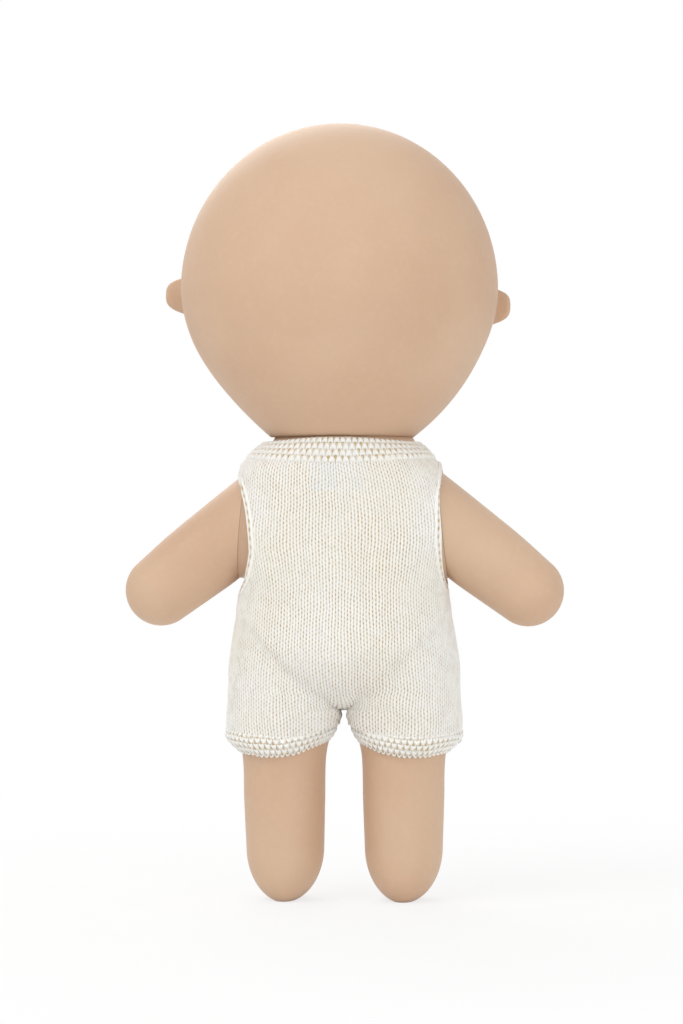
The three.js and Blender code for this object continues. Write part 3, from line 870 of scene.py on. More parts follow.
def build_limb(kind, hand, points, centre, axis, radii, skin):
    """One arm or leg, with the stud that holds it in the torso."""
    flip = on_hand(1 if hand == "left" else -1)
    name, node = f"{kind}_moulding_{hand}", f"{kind}_{hand}"
    limb = make_object(name, points.reshape(-1, 3) * flip, grid_faces(*points.shape[:2], closed=True))
    edit_mesh(limb, close_ends)
    soften_edges(limb, 0.0005, math.radians(50))
    stud = turned_object(name + "_stud", stud_profile(radii, -1.5, 3.3), centre * flip, -axis * flip)
    join_solids(limb, stud, "UNION")
    hand_over(limb, plain_rubber(name + "_rubber", skin), node)
    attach(limb, node)


class DOLL_OT_limbs(Operator):
    """Build both arms and both legs with their studs"""
    bl_idname = "doll.limbs"
    bl_label = "Arms and legs"
    bl_options = {"REGISTER", "UNDO"}

    def execute(self, context):
        turns = np.linspace(0, 2 * math.pi, 96, endpoint=False)
        along = np.array([math.cos(ARM_DROP), 0, -math.sin(ARM_DROP)])
        outward = np.array([math.sin(ARM_DROP), 0, math.cos(ARM_DROP)])
        arm = limb_points(ARM_ROWS, SHOULDER, SHOULDER_AXIS, along, outward, WRIST_RADIUS, 2,
                          math.radians(89), np.linspace(0, 1, 56), np.linspace(0, 1, 26), turns)
        leg = limb_points(LEG_ROWS, HIP, HIP_AXIS, np.array([0, 0, -1]), np.array([1, 0, 0]),
                          ANKLE_HEIGHT + SOLE_DROP, 3.6, math.asin(ANKLE_HEIGHT / (ANKLE_HEIGHT + SOLE_DROP)),
                          np.linspace(0, 1, 64), np.linspace(0, 1, 26), turns)
        for hand in ("left", "right"):
            build_limb("arm", hand, arm, SHOULDER, SHOULDER_AXIS, ARM_STUD, context.scene.doll_skin)
            build_limb("leg", hand, leg, HIP, HIP_AXIS, LEG_STUD, context.scene.doll_skin)
        return {"FINISHED"}


# Yarn

def stitch_nodes(make, u, v):
    """The same height as stitch_height, with the number and the openness of the hollow beside a place."""
    across = make.math("MULTIPLY", u, 2)
    column = make.math("ROUND", across)
    away = make.math("ABSOLUTE", make.math("SUBTRACT", across, column))
    level = make.math("MULTIPLY_ADD", make.math("FLOORED_MODULO", column, 2), -0.5, v)
    wave = make.math("COSINE", make.math("MULTIPLY", level, 2 * math.pi))
    opening = make.math("MULTIPLY_ADD", wave, 0.5, 0.5)
    width = make.math("MULTIPLY_ADD", opening, 0.18, 0.22)
    slope = make.math("DIVIDE", away, width, clamp=True)
    rise = make.math("SINE", make.math("MULTIPLY", slope, math.pi / 2))
    floor = make.math("MULTIPLY_ADD", opening, -0.45, 0.45)
    height = make.math("MULTIPLY_ADD", make.math("SUBTRACT", 1, floor), rise, floor)
    return height, away, opening, make.vector(column, make.math("ROUND", level), 0.5)


def cotton(make, base, height, hollow, shade):
    """Finishes a knitted material: matte cotton with loose fibres, over the painted shade of its hollows."""
    place = make.places()
    fluff = make.ramp(make.noise(place, 1100, 4, 0.7), 0.25, 0.75, 0.93, 1.03)
    cloud = make.ramp(make.noise(place, 26, 2), 0.35, 0.7)
    warm = make.mix(cloud, WHITE, WARM_COTTON)
    base = make.mix(1, base, warm, "MULTIPLY")
    base = make.mix(1, base, make.vector(fluff, fluff, fluff), "MULTIPLY")
    base = make.mix(hollow, base, shade)
    fibre = make.bump(make.noise(place, 2600, 4, 0.7), 0.00012, 0.5)
    normal = make.bump(height, 0.0005, 0.6, fibre)
    make.shader.inputs["Sheen Weight"].default_value = 0.2
    make.shader.inputs["Sheen Roughness"].default_value = 0.5
    make.shader.inputs["Roughness"].default_value = 0.95
    make.shader.inputs["Specular IOR Level"].default_value = 0.15
    return make.finish(base, normal)


def label_patch(make):
    """How far the label shows through the knitting: a patch with soft edges and a paler line down it."""
    x, _, z = make.parts(make.places())
    level = (BAND_FOOT - 5.7) * MM

    def away(place, middle):
        return make.math("ABSOLUTE", make.math("SUBTRACT", place, middle))
    patch = make.ramp(away(x, 0.0005), 0.0112, 0.0092)
    for part in (make.ramp(away(z, level), 0.0062, 0.0047),
                 make.ramp(away(x, -0.002), 0.002, 0.0042, 0.45, 1),
                 make.ramp(make.noise(make.places(), 260, 2), 0.35, 0.6, 0.35, 1)):
        patch = make.math("MULTIPLY", patch, part)
    return patch


def knitting(name, settings, open_work=1.0, label=False):
    """Ivory cotton in stocking stitch; the skin between the stitches and the dips in the yarn get painted
    shade.
    """
    make = Shading(name)
    u, v, _ = make.parts(make.places("UV"))
    height, away, opening, number = stitch_nodes(make, u, v)
    # Between the stitches the skin shows, darkened as painted shade, fainter towards the sides
    line = make.ramp(away, 0.33, 0.04)
    blob = make.math("MULTIPLY_ADD", make.math("POWER", opening, 1.4), 0.72, 0.28)
    pick = make.ramp(make.random(number), 0, 1, 0.62, 1.12)
    side = make.math("ABSOLUTE", make.parts(make.places())[0])
    region = make.math("MULTIPLY", make.ramp(make.noise(make.places(), 30, 2), 0.32, 0.68, 0.62, 1.0),
                       make.ramp(side, 0.022, 0.040, open_work, 0.6 * open_work ** 2))
    hollow = make.math("MULTIPLY", make.math("MULTIPLY", line, blob), make.math("MULTIPLY", pick, region),
                       clamp=True)
    # Painted shade on the yarn where it dips
    shadow = make.ramp(height, 0.1, 0.9, 0.93, 1.0)
    base = make.mix(1, settings.yarn, make.vector(shadow, shadow, shadow), "MULTIPLY")
    if not label:
        return cotton(make, base, height, hollow, settings.shade)
    patch = label_patch(make)
    base = make.mix(make.math("MULTIPLY", patch, 0.28), base, LABEL_SHOWING)
    return cotton(make, base, height, hollow, make.mix(patch, settings.shade, settings.tape))


def woven_tape(name, settings):
    """Bare grey-white tape in a fine twill."""
    make = Shading(name)
    x, _, z = make.parts(make.places())
    thread = 0.00045
    slant = make.math("SINE", make.math("MULTIPLY", make.math("ADD", x, z), 2 * math.pi / thread))
    cross = make.math("SINE", make.math("MULTIPLY", make.math("SUBTRACT", x, z), math.pi / thread))
    weave = make.math("MULTIPLY_ADD", cross, 0.3, slant)
    tone = make.ramp(weave, -1.3, 1.3, 0.86, 1.0)
    base = make.mix(1, settings.tape, make.vector(tone, tone, tone), "MULTIPLY")
    make.shader.inputs["Roughness"].default_value = 0.8
    make.shader.inputs["Sheen Weight"].default_value = 0.15
    return make.finish(base, make.bump(weave, 0.00006, 0.6))


def garter(name, settings):
    """Ivory cotton garter stitch for the neck band and hems, loops as in garter_height, with painted shade in
    the gaps.
    """
    make = Shading(name)
    u, v, _ = make.parts(make.places("UV"))
    row = make.math("ROUND", v)
    place = make.math("MULTIPLY_ADD", make.math("FLOORED_MODULO", row, 2), 0.5, u)
    loop = make.math("ROUND", place)
    side = make.math("SUBTRACT", place, loop)
    arch = make.math("MULTIPLY", make.math("COSINE", make.math("MULTIPLY", side, 2 * math.pi)), -0.2)
    up = make.math("ADD", make.math("SUBTRACT", v, row), arch)
    wide = make.math("POWER", make.math("ABSOLUTE", make.math("MULTIPLY", side, 2.05)), 2.5)
    tall = make.math("POWER", make.math("ABSOLUTE", make.math("MULTIPLY", up, 2)), 2.3)
    covered = make.math("MULTIPLY_ADD", tall, 0.9, wide)
    height = make.math("SQRT", make.math("SUBTRACT", 1, covered, clamp=True))
    pick = make.ramp(make.random(make.vector(loop, row, 2.5)), 0, 1, 0.3, 0.95)
    # The gaps between loops show skin, darkened as painted shade
    hollow = make.math("MULTIPLY", make.ramp(height, 0.5, 0.02), pick)
    # Painted shade low on each loop
    shadow = make.ramp(height, 0, 0.7, 0.95, 1.0)
    base = make.mix(1, settings.yarn, make.vector(shadow, shadow, shadow), "MULTIPLY")
    return cotton(make, base, height, hollow, settings.shade)


# Knitting, in millimetres

CROTCH = 73.5
LEG_FADE = 130
LEG_BLEND = 4.0
SHOULDER_BLEND = 5.0
ARMHOLE_RADIUS = SHOULDER_RADIUS + 0.8
SEAT_CLOTH = 0.3
CHAIN_WIDTH = 0.76
BAND_SQUARENESS = 2.7


def crease_gap(x, z):
    """How far a point lies below the crease where the bottom meets the tops of the legs."""
    crease = np.interp(np.abs(x), [0, 3, 5, 7, 12, 17, 20, 24, 30, 45],
                       [70, 72.5, 77, 79.5, 81.5, 86.5, 90, 94.5, 101, 116])
    return 0.75 * (crease - z)


def hem_rise(across):
    """How far the hem rises on the inside and outside of a leg, at a share across from -1 to 1."""
    return 5.5 * np.clip(-across, 0, 1) ** 1.6 + 1.5 * np.clip(across, 0, 1) ** 2


def strap_shift(points):
    """Moves the top of the romper to where it hangs, a little to one side."""
    points[..., 0] += np.interp(points[..., 2] - NECK_SEAT, [-26, -18, -11, -7, -4, 0],
                                [0, 0.5, 1.3, 1.2, 0.9, 0.7])
    return points


def from_shoulder(x, z):
    """How far a place lies past the left shoulder's seat, and how far above its axis."""
    x, z = x - SHOULDER[0], z - SHOULDER[2]
    return x * SHOULDER_AXIS[0] + z * SHOULDER_AXIS[2], z * SHOULDER_AXIS[0] - x * SHOULDER_AXIS[2]


def shoulder_gap(x, y, z):
    """Roughly how far a point lies outside the cloth's rise onto the shoulder seat."""
    past, up = from_shoulder(x, z)
    return np.maximum(np.hypot(up, y) - ARMHOLE_RADIUS, past + SEAT_CLOTH)


class RomperForm:
    """The outside of the romper, as places by stitch on one half of its back or front."""

    def __init__(self, settings, side):
        self.side = side
        self.ease = settings.ease / MM
        self.leg_ease = settings.leg_ease / MM
        self.hem_spread = settings.hem_spread / MM
        self.levels = np.concatenate([
            np.arange(62.0, 73.3, 0.5), np.arange(73.3, 79.0, 0.07), np.arange(79.0, 90, 0.25),
            np.arange(90.0, BAND_TOP + 1, 0.5)])
        self.turns = np.linspace(0, math.pi, 241)
        self.leg_reach = np.stack([self.leg_section(level) for level in self.levels])
        self.sections = [self.section(i) for i in range(len(self.levels))]
        middle = np.array([section[0] for section in self.sections])
        steps = np.hypot(np.diff(self.levels), 0.3 * np.hypot(*np.diff(middle, axis=0).T))
        self.middle_path = np.concatenate([[0], np.cumsum(steps)])
        edge = np.array([section[-1] for section in self.sections])
        steps = np.hypot(np.diff(self.levels), np.diff(edge[:, 0]))
        self.side_path = np.concatenate([[0], np.cumsum(steps)])

    def leg_section(self, level):
        """How far the leg's knitting reaches from the hip's upright line at each turn from the inside."""
        distance = np.linspace(-46, 42, 353)[:, None]
        turn = np.linspace(0, math.pi, 121)[None, :]
        half_width, half_depth, out, back, shear = leg_at(np.clip(distance, 0, None))

        # The cloth is looser towards the hem, and bunched on the inside of the leg near the crotch
        flare = smooth_step(distance, 9 - 9 * np.cos(turn), 31)
        bunch = 1.5 * np.clip(np.cos(turn), 0, 1) ** 2 * np.exp(-((distance - 3) / 5) ** 2)
        growth = self.ease + self.leg_ease * flare + bunch

        # Above the hip the form closes inside the body, and below the crotch the two legs keep apart
        taper = np.clip(-distance, 0, None)
        x = out + self.hem_spread * flare - (half_width + growth - 0.12 * taper) * np.cos(turn)
        apart = np.interp(HIP[2] - distance, [61, 66, 70, 73.3, 74.5], [2.8, 1.9, 1.4, 0.8, -6])
        x = smooth_max(x, apart - HIP[0], 0.8)
        y = back + self.side * (half_depth + growth - 0.16 * taper) * np.sin(turn)
        z = HIP[2] - distance - shear * (half_width + growth) * np.cos(turn)

        # The form is read at one level, and its reach from the upright line at even turns
        place = [np.interp(-level, -z[:, k], distance[:, 0]) for k in range(turn.shape[1])]
        at = (np.array(place) - distance[0, 0]) / (distance[1, 0] - distance[0, 0])
        low = np.clip(np.floor(at).astype(int), 0, len(distance) - 2)
        part = at - low
        pick = np.arange(turn.shape[1])
        x_at = x[low, pick] * (1 - part) + x[low + 1, pick] * part
        y_at = y[low, pick] * (1 - part) + y[low + 1, pick] * part
        angle = np.arctan2(self.side * y_at, -x_at)
        reach = np.hypot(x_at, y_at)
        order = np.argsort(angle)
        return np.interp(self.turns, angle[order], reach[order])

    def leg_gap(self, i, x, y):
        """Roughly how far places at one level lie outside the leg's knitting, which fades at the waist."""
        angle = np.arctan2(self.side * y, HIP[0] - x)
        reach = np.hypot(x - HIP[0], y)
        above = max(0.0, self.levels[i] - LEG_FADE)
        return reach - np.interp(np.abs(angle), self.turns, self.leg_reach[i]) + above

    def section(self, i):
        """Points of the knitting's outside at one level, from the middle or the inside of the leg outward."""
        level = self.levels[i]
        reach = np.arange(0, 64, 0.5)[None, :]
        turn = self.turns[:, None]
        x = HIP[0] - reach * np.cos(turn)
        y = self.side * reach * np.sin(turn)

        # The bottom is fuller in the middle of the back
        bulge = 2.0 * math.exp(-((level - HIP[2] - 3) / 14) ** 2) * (self.side > 0)
        body = torso_gap(x, y - bulge * smooth_step(np.abs(x), 26, 4), np.full_like(x, level), self.ease)
        body = smooth_max(body, crease_gap(x, level), 4.0)
        body = smooth_min(body, shoulder_gap(x, y, level), SHOULDER_BLEND)
        near = self.leg_gap(i, x, y)
        other = self.leg_gap(i, -x, y)
        blend = 0.01 + LEG_BLEND * smooth_step(level, CROTCH - 1, CROTCH + 6)
        gap = smooth_min(smooth_min(body, near, blend), other, blend)

        # The cloth lies where the gap first passes from inside to outside along each turn
        outside = 9
        gap[:, -1] = outside
        last = np.argmax(gap[:, 1:] > 0, axis=1)
        pick = np.arange(len(last))
        inner, outer = gap[pick, last], gap[pick, last + 1]
        edge = reach[0, last] + 0.5 * inner / np.minimum(inner - outer, -1e-6)
        x = HIP[0] - edge * np.cos(self.turns)
        y = self.side * edge * np.sin(self.turns)

        # Past the middle line the other half takes over
        crossed = np.nonzero(x < 0)[0]
        if len(crossed):
            k = crossed[-1]
            part = x[k] / (x[k] - x[k + 1])
            x = np.concatenate([[0.0], x[k + 1:]])
            y = np.concatenate([[y[k] + (y[k + 1] - y[k]) * part], y[k + 1:]])
        return np.stack([x, y], -1)

    def along(self, section, columns):
        """How far along a section each column lies, with the wales added below the crotch inside the leg."""
        lengths = np.concatenate([[0], np.cumsum(np.hypot(*np.diff(section, axis=0).T))])
        inner = lengths[len(section) - (len(self.turns) + 1) // 2]
        outer = lengths[-1] - inner
        widest = 23.0
        shown = min(inner, widest)
        middle = shown / (shown + outer)
        back = np.clip(1 - columns / middle, 0, 1)
        over = np.clip((columns - middle) / (1 - middle), 0, 1)
        return lengths, inner - shown * back - (inner - shown) * back ** 4 + outer * over

    def points(self, columns, rows):
        """Points at shares across, from the middle line to the side, and shares up, from hem to neck."""
        table = np.empty((len(self.levels), len(columns), 2))
        for section, line in zip(self.sections, table):
            lengths, places = self.along(section, columns)
            for axis in (0, 1):
                line[:, axis] = np.interp(places, lengths, section[:, axis])
        middle = np.interp(rows * self.middle_path[-1], self.middle_path, self.levels)
        edge = np.interp(rows * self.side_path[-1], self.side_path, self.levels)
        levels = edge[:, None] + (middle - edge)[:, None] * (1 - columns) ** 2.5
        low = np.clip(np.searchsorted(self.levels, levels) - 1, 0, len(self.levels) - 2)
        part = (levels - self.levels[low]) / (self.levels[low + 1] - self.levels[low])
        across = np.arange(len(columns))[None, :]
        flat = table[low, across] * (1 - part)[..., None] + table[low + 1, across] * part[..., None]
        return np.concatenate([flat, levels[..., None]], -1)


def stitch_height(u, v):
    """Height of the yarn, from 0 in a hollow to 1 on top, at a place counted in stitches and rows."""
    column = np.round(2 * u)
    opening = 0.5 + 0.5 * np.cos(2 * math.pi * (v - 0.5 * np.mod(column, 2)))
    rise = np.sin(math.pi / 2 * np.clip(np.abs(2 * u - column) / (0.22 + 0.18 * opening), 0, 1))
    floor = 0.45 * (1 - opening)
    return floor + (1 - floor) * rise


def knit_points(form, settings, seed):
    """Both halves of the back or front as one grid of stitches from side to side, raised along the yarn."""
    wales, courses = settings.wales, settings.courses
    columns = np.linspace(0, 1, wales * 6 + 1)
    rows = np.linspace(0, 1, courses * 4 + 1)
    half = form.points(columns, rows)
    outward = surface_normals(half) * -form.side

    # The middle line stays in the middle, and the side seam where the other panel meets it
    joined = np.abs(half[:, 0, 0]) < 0.01
    outward[joined, 0, 0] = 0
    outward[:, -1, 1] = 0
    outward /= np.maximum(np.linalg.norm(outward, axis=-1, keepdims=True), 1e-9)
    points = np.concatenate([mirrored(half[:, :0:-1]), half], axis=1)
    normals = np.concatenate([mirrored(outward[:, :0:-1]), outward], axis=1)

    # Hand knitting: stitches that drift a little, and an uneven tension
    shape = points.shape[:2]
    drift, jitter = 0.14, 0.05
    u = np.linspace(-wales, wales, shape[1])[None, :] + drift * smooth_noise(shape, (26, 30), seed)
    v = rows[:, None] * courses + drift * smooth_noise(shape, (30, 28), seed + 1)
    u = u + jitter * smooth_noise(shape, (72, 96), seed + 2)
    v = v + jitter * smooth_noise(shape, (72, 96), seed + 3)
    tension = 0.20 * smooth_noise(shape, (14, 14), seed + 4) + 0.10 * smooth_noise(shape, (40, 44), seed + 5)
    height = settings.relief / MM * (stitch_height(u, v) - 0.62) + tension

    # The side seams are plain and a little sunk
    seam_width, seam_depth = 0.4, 0.2
    seam = np.clip((1 - np.abs(np.linspace(-1, 1, shape[1]))) * wales / seam_width, 0, 1)
    height = height * seam + seam_depth * (seam - 1)
    return strap_shift(points + normals * height[..., None]), np.stack([u, v], -1)


def knit_object(name, form, points, stitches, hand=0):
    """A knitted grid, or the half of it on one hand, as an object."""
    middle = points.shape[1] // 2
    if hand > 0:
        points, stitches = points[:, middle:], stitches[:, middle:]
    if hand < 0:
        points, stitches = points[:, :middle + 1].copy(), stitches[:, :middle + 1]
        points[:, -1, 0] *= -1
    faces = grid_faces(*points.shape[:2])
    if form.side > 0:
        faces = flip_faces(faces)
    return make_object(name, points.reshape(-1, 3), faces, stitches.reshape(-1, 2))


def garter_height(u, v):
    """Height of the yarn in garter stitch, whose rows are round loops set between those of the next."""
    row = np.round(v)
    place = u + 0.5 * np.mod(row, 2)
    side = place - np.round(place)
    up = v - row - 0.2 * np.cos(2 * math.pi * side)
    return np.sqrt(np.clip(1 - np.abs(2.05 * side) ** 2.5 - 0.9 * np.abs(2 * up) ** 2.3, 0, 1))


def band_object(name, path, side, normal, half_width, half_thickness, stitches, ridges, relief, seed):
    """An edging along a closed path, from its frame at each point, as a garter roll or as one chain."""
    shape = (len(path), 57)
    over, out = power_ring(half_width, half_thickness, np.linspace(0, 2 * math.pi, shape[1]), BAND_SQUARENESS)
    cells = (stitches, 4)
    u = np.linspace(0, stitches, shape[0])[:, None] + 0.06 * smooth_noise(shape, cells, seed)
    v = (over / half_width + 1)[None, :] / 2 * ridges - 0.5 + 0.05 * smooth_noise(shape, cells, seed + 1)
    front = np.clip(out / half_thickness * 1.5 + 0.5, 0, 1)[None, :]
    if ridges == 1:
        lift = relief * (stitch_height(CHAIN_WIDTH * v, u) - 0.8) * front
        places = np.stack([CHAIN_WIDTH * v, u], -1)
    else:
        lift = relief * (garter_height(u, v) - 0.55) * front
        places = np.stack([u, v], -1)
    edge = 0.22 * np.cos(2 * math.pi * u) * (np.abs(over) / half_width)[None, :] ** 6 * front
    wide, high = over[None, :] * (1 + edge / half_width), out[None, :] + lift
    points = path[:, None] + side[:, None] * wide[..., None] + normal[:, None] * high[..., None]
    piece = make_object(name, strap_shift(points).reshape(-1, 3), grid_faces(*shape), places.reshape(-1, 2))
    edit_mesh(piece, weld)
    return piece


def band_frame(low, high, path, turn=1):
    """Unit directions over an edging and out from it, at each point of its closed path."""
    side = (high - low) / np.linalg.norm(high - low, axis=1)[:, None]
    along = np.gradient(path, axis=0)
    along[0] = along[-1] = along[0] + along[-1]
    normal = turn * np.cross(along, side)
    return side, normal / np.linalg.norm(normal, axis=1)[:, None]


def even_path(points, count):
    """Points spaced evenly along a closed path, with the first repeated at the end."""
    loop = np.concatenate([points, points[:1]])
    lengths = np.concatenate([[0], np.cumsum(np.linalg.norm(np.diff(loop, axis=0), axis=1))])
    at = np.linspace(0, lengths[-1], count)
    return np.stack([np.interp(at, lengths, loop[:, k]) for k in range(3)], -1)


def neck_band():
    """The garter edging round the neck."""
    turns = np.linspace(0, 2 * math.pi, 720, endpoint=False)
    count, ease, margin = 1101, 1.6, 0.6

    def ring(height, rise=0):
        height = height + rise * np.sin(turns) ** 2
        half_width, half_depth, back, power = torso_at(height - HIP[2])
        half_width = half_width + strap_at(height - NECK_SEAT)[0]
        x, y = power_ring(half_width + ease, half_depth + ease, turns, power)
        return np.stack([x, y + back, height], -1)
    low, high = even_path(ring(BAND_FOOT + margin), count), even_path(ring(BAND_TOP - margin, 0.5), count)
    path = (low + high) / 2
    side, normal = band_frame(low, high, path)
    half_width = np.linalg.norm(high - low, axis=1).mean() / 2 + margin
    return band_object("romper_neck_edging", path, side, normal, half_width, half_thickness=1.15, stitches=82,
                       ridges=4, relief=0.7, seed=5)


def armhole_shift(up, out, hand):
    """How far the armhole's edge lies from the seat, which is more on the left, where it is pulled in."""
    turn = np.degrees(np.arccos(np.clip(up / np.maximum(out, 1), -1, 1)))
    if hand > 0:
        return np.interp(turn, [0, 40, 70, 90, 115, 140, 160, 180], [0, 0.4, 2.0, 3.6, 6.0, 6.6, 5.4, 4.2])
    return np.interp(turn, [0, 90, 115, 150, 180], [0, 0, 1.2, 2.6, 2.2])


def armhole_band(name, hand, settings):
    """The edging that rises from the body onto the seat of an arm."""
    count, halvings = 721, 16
    turns = np.linspace(0, 2 * math.pi, count)[:, None]
    out = ARMHOLE_RADIUS + np.linspace(-0.6, 10, 161)[None, :]
    up = np.array([-SHOULDER_AXIS[2], 0, SHOULDER_AXIS[0]])
    flat = SHOULDER + (out * np.cos(turns))[..., None] * up + (out * np.sin(turns))[..., None] * BACKWARD

    # Where the cloth's outside lies along the seat's axis
    inside, outside = np.full(flat.shape[:2], -22.0), np.full(flat.shape[:2], 3.0)
    for _ in range(halvings):
        past = (inside + outside) / 2
        x, y, z = np.moveaxis(flat + past[..., None] * SHOULDER_AXIS, -1, 0)
        gap = smooth_min(torso_gap(x, y, z, settings.ease / MM), shoulder_gap(x, y, z), SHOULDER_BLEND)
        inside, outside = np.where(gap < 0, past, inside), np.where(gap < 0, outside, past)
    points = flat + past[..., None] * SHOULDER_AXIS
    steps = np.linalg.norm(np.diff(points, axis=1), axis=2)
    lengths = np.concatenate([np.zeros((count, 1)), np.cumsum(steps, axis=1)], 1)

    def at(distance):
        return np.stack([[np.interp(distance[i], lengths[i], points[i, :, k]) for i in range(count)]
                         for k in range(3)], -1)
    shift = armhole_shift(np.cos(turns[:, 0]), 1, hand)
    near, path, far = at(shift + 0.5), at(shift + 1.7), at(shift + 2.9)
    side, normal = band_frame(near, far, path, -1)
    flip = on_hand(hand)
    band = band_object(name, path * flip, side * flip, normal * flip, half_width=1.45, half_thickness=0.85,
                       stitches=46, ridges=1, relief=0.9, seed=9 + hand)

    # It stays clear of the arm that turns against the seat
    axis, seat = Vector(SHOULDER_AXIS * flip), Vector(SHOULDER * flip) * MM
    for corner in band.data.vertices:
        away = corner.co - seat
        reach = away.dot(axis)
        clear = max(0.0, (away - axis * reach).length - (SHOULDER_RADIUS + 1.2) * MM)
        over = reach + 0.15 * MM - 0.8 * clear
        if over > 0:
            corner.co -= axis * over
    return band


def hem_band(name, hand, settings):
    """The rolled garter hem of one leg."""
    # Share of the way from the top round the foot to the inside, height, ease, share of the hem's spread
    profile = station_reader([
        (0.00, 64.3, 1.5, 1), (0.05, 65.0, 2.2, 1), (0.11, 64.8, 3.0, 1), (0.25, 63.0, 4.1, 1),
        (0.45, 60.6, 4.05, 0.8), (0.60, 58.6, 3.0, 0.5), (0.72, 57.2, 1.9, 0.3), (0.80, 56.6, 1.1, 0.2),
        (0.88, 57.3, 0.5, 0.2), (1.00, 60.5, 0.6, 0.5)])
    shape, count = (65, 661), 54
    part = np.linspace(0, 1, shape[0])
    z, ease, lean = profile(part)
    turns = np.linspace(0, 2 * math.pi, shape[1])
    half_width, half_depth, out, back, _ = leg_at(HIP[2] - z)
    u = turns[None, :] / (2 * math.pi) * count + 0.06 * smooth_noise(shape, (5, count), 20 + hand)
    v = np.interp(part, [0, 0.11, 0.78, 1], [-0.5, 0, 4.0, 4.6])[:, None]
    v = v + 0.05 * smooth_noise(shape, (5, count), 22 + hand)
    front = smooth_step(part, 0.03, 0.12) * (1 - smooth_step(part, 0.76, 0.84))
    lift = 0.7 * (garter_height(u, v) - 0.55) * front[:, None]

    # The edge waves with the loops, and the lowest ridge hangs a little
    scallop = 0.35 * np.cos(2 * math.pi * u) * np.exp(-((part - 0.76) / 0.07) ** 2)[:, None]
    scallop = scallop + 0.3 * smooth_noise(shape, (3, 40), 27 + hand)
    grow = ease[:, None] + lift
    middle = HIP[0] + out + lean * settings.hem_spread / MM
    x = middle[:, None] + (half_width[:, None] + grow) * np.cos(turns)
    y = back[:, None] + (half_depth[:, None] + grow) * np.sin(turns)
    sag = lift * (front * smooth_step(part, 0.4, 0.8))[:, None] * 0.6
    points = np.stack([x, y, z[:, None] + hem_rise(np.cos(turns)) - scallop - sag], -1)
    piece = make_object(name, points.reshape(-1, 3) * on_hand(hand), grid_faces(*shape),
                        np.stack([u, v], -1).reshape(-1, 2))
    edit_mesh(piece, weld)
    return piece


class DOLL_OT_romper(Operator):
    """Knit the back and front of the romper"""
    bl_idname = "doll.romper"
    bl_label = "Romper"
    bl_options = {"REGISTER", "UNDO"}

    def execute(self, context):
        settings = context.scene.doll_knit
        yarn = knitting("stocking_stitch", settings)
        over_label = knitting("stocking_stitch_over_label", settings, label=True)
        for side, panel in ((1, "back"), (-1, "front")):
            form = RomperForm(settings, side)
            points, stitches = knit_points(form, settings, 40 + 10 * side)
            body = knit_object(f"romper_{panel}_knit", form, points, stitches)
            edit_mesh(body, trim_bodice)
            hand_over(body, over_label if panel == "back" else yarn, f"romper_{panel}")
            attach(body, "torso")
            for hand, name in ((1, "left"), (-1, "right")):
                leg = knit_object(f"romper_leg_{panel}_knit_{name}", form, points, stitches, hand)
                flip = on_hand(hand)
                edit_mesh(leg, lambda bm: trim_leg(bm, flip))
                hand_over(leg, yarn, f"romper_leg_{panel}_{name}")
                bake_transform(leg)
        return {"FINISHED"}


def trim_bodice(bm):
    """Cuts the body of the romper along both hips, and where the neck and armhole edgings cover its ends."""
    for flip in (on_hand(1), on_hand(-1)):
        cut_away(bm, HIP * flip, HIP_AXIS * flip)
    gone = []
    for face in bm.faces:
        x, y, z = face.calc_center_median() / MM
        past, up = from_shoulder(abs(x), z)
        out = math.hypot(up, y)
        inset = 1.6 + float(armhole_shift(up, out, x))
        under_armhole = abs(x) > 20 and out - ARMHOLE_RADIUS + abs(past + SEAT_CLOTH) < inset
        crotch_tip = z < CROTCH and abs(x) < 3
        if z > BAND_TOP - 3 or under_armhole or crotch_tip:
            gone.append(face)
    bmesh.ops.delete(bm, geom=gone, context="FACES")


def trim_leg(bm, flip):
    """Cuts a leg of the romper along its hip, and where the hem covers its end."""
    cut_away(bm, HIP * flip, -HIP_AXIS * flip)
    overlap, middle, half_width = 1.5, HIP[0] + 1.5, 21
    gone = []
    for face in bm.faces:
        x, _, z = face.calc_center_median() / MM
        if z < HEM_TOP - overlap + float(hem_rise((abs(x) - middle) / half_width)):
            gone.append(face)
    bmesh.ops.delete(bm, geom=gone, context="FACES")


class DOLL_OT_edgings(Operator):
    """Knit the neck, armhole and leg edgings, and sew in the label"""
    bl_idname = "doll.edgings"
    bl_label = "Edgings"
    bl_options = {"REGISTER", "UNDO"}

    def execute(self, context):
        settings = context.scene.doll_knit
        yarn, chain = garter("garter_stitch", settings), knitting("chain_edge", settings, 1.6)
        neck = neck_band()
        hand_over(neck, yarn, "romper_neck_band")
        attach(neck, "torso")
        for hand, name in ((1, "left"), (-1, "right")):
            armhole = armhole_band(f"romper_armhole_edging_{name}", hand, settings)
            hand_over(armhole, chain, f"romper_armhole_band_{name}")
            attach(armhole, "torso")
            hem = hem_band(f"romper_hem_edging_{name}", hand, settings)
            hand_over(hem, yarn, f"romper_leg_hem_{name}")
            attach(hem, f"leg_{name}")
        label = label_object()
        hand_over(label, woven_tape("label_tape", settings), "romper_label")
        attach(label, "torso")
        return {"FINISHED"}


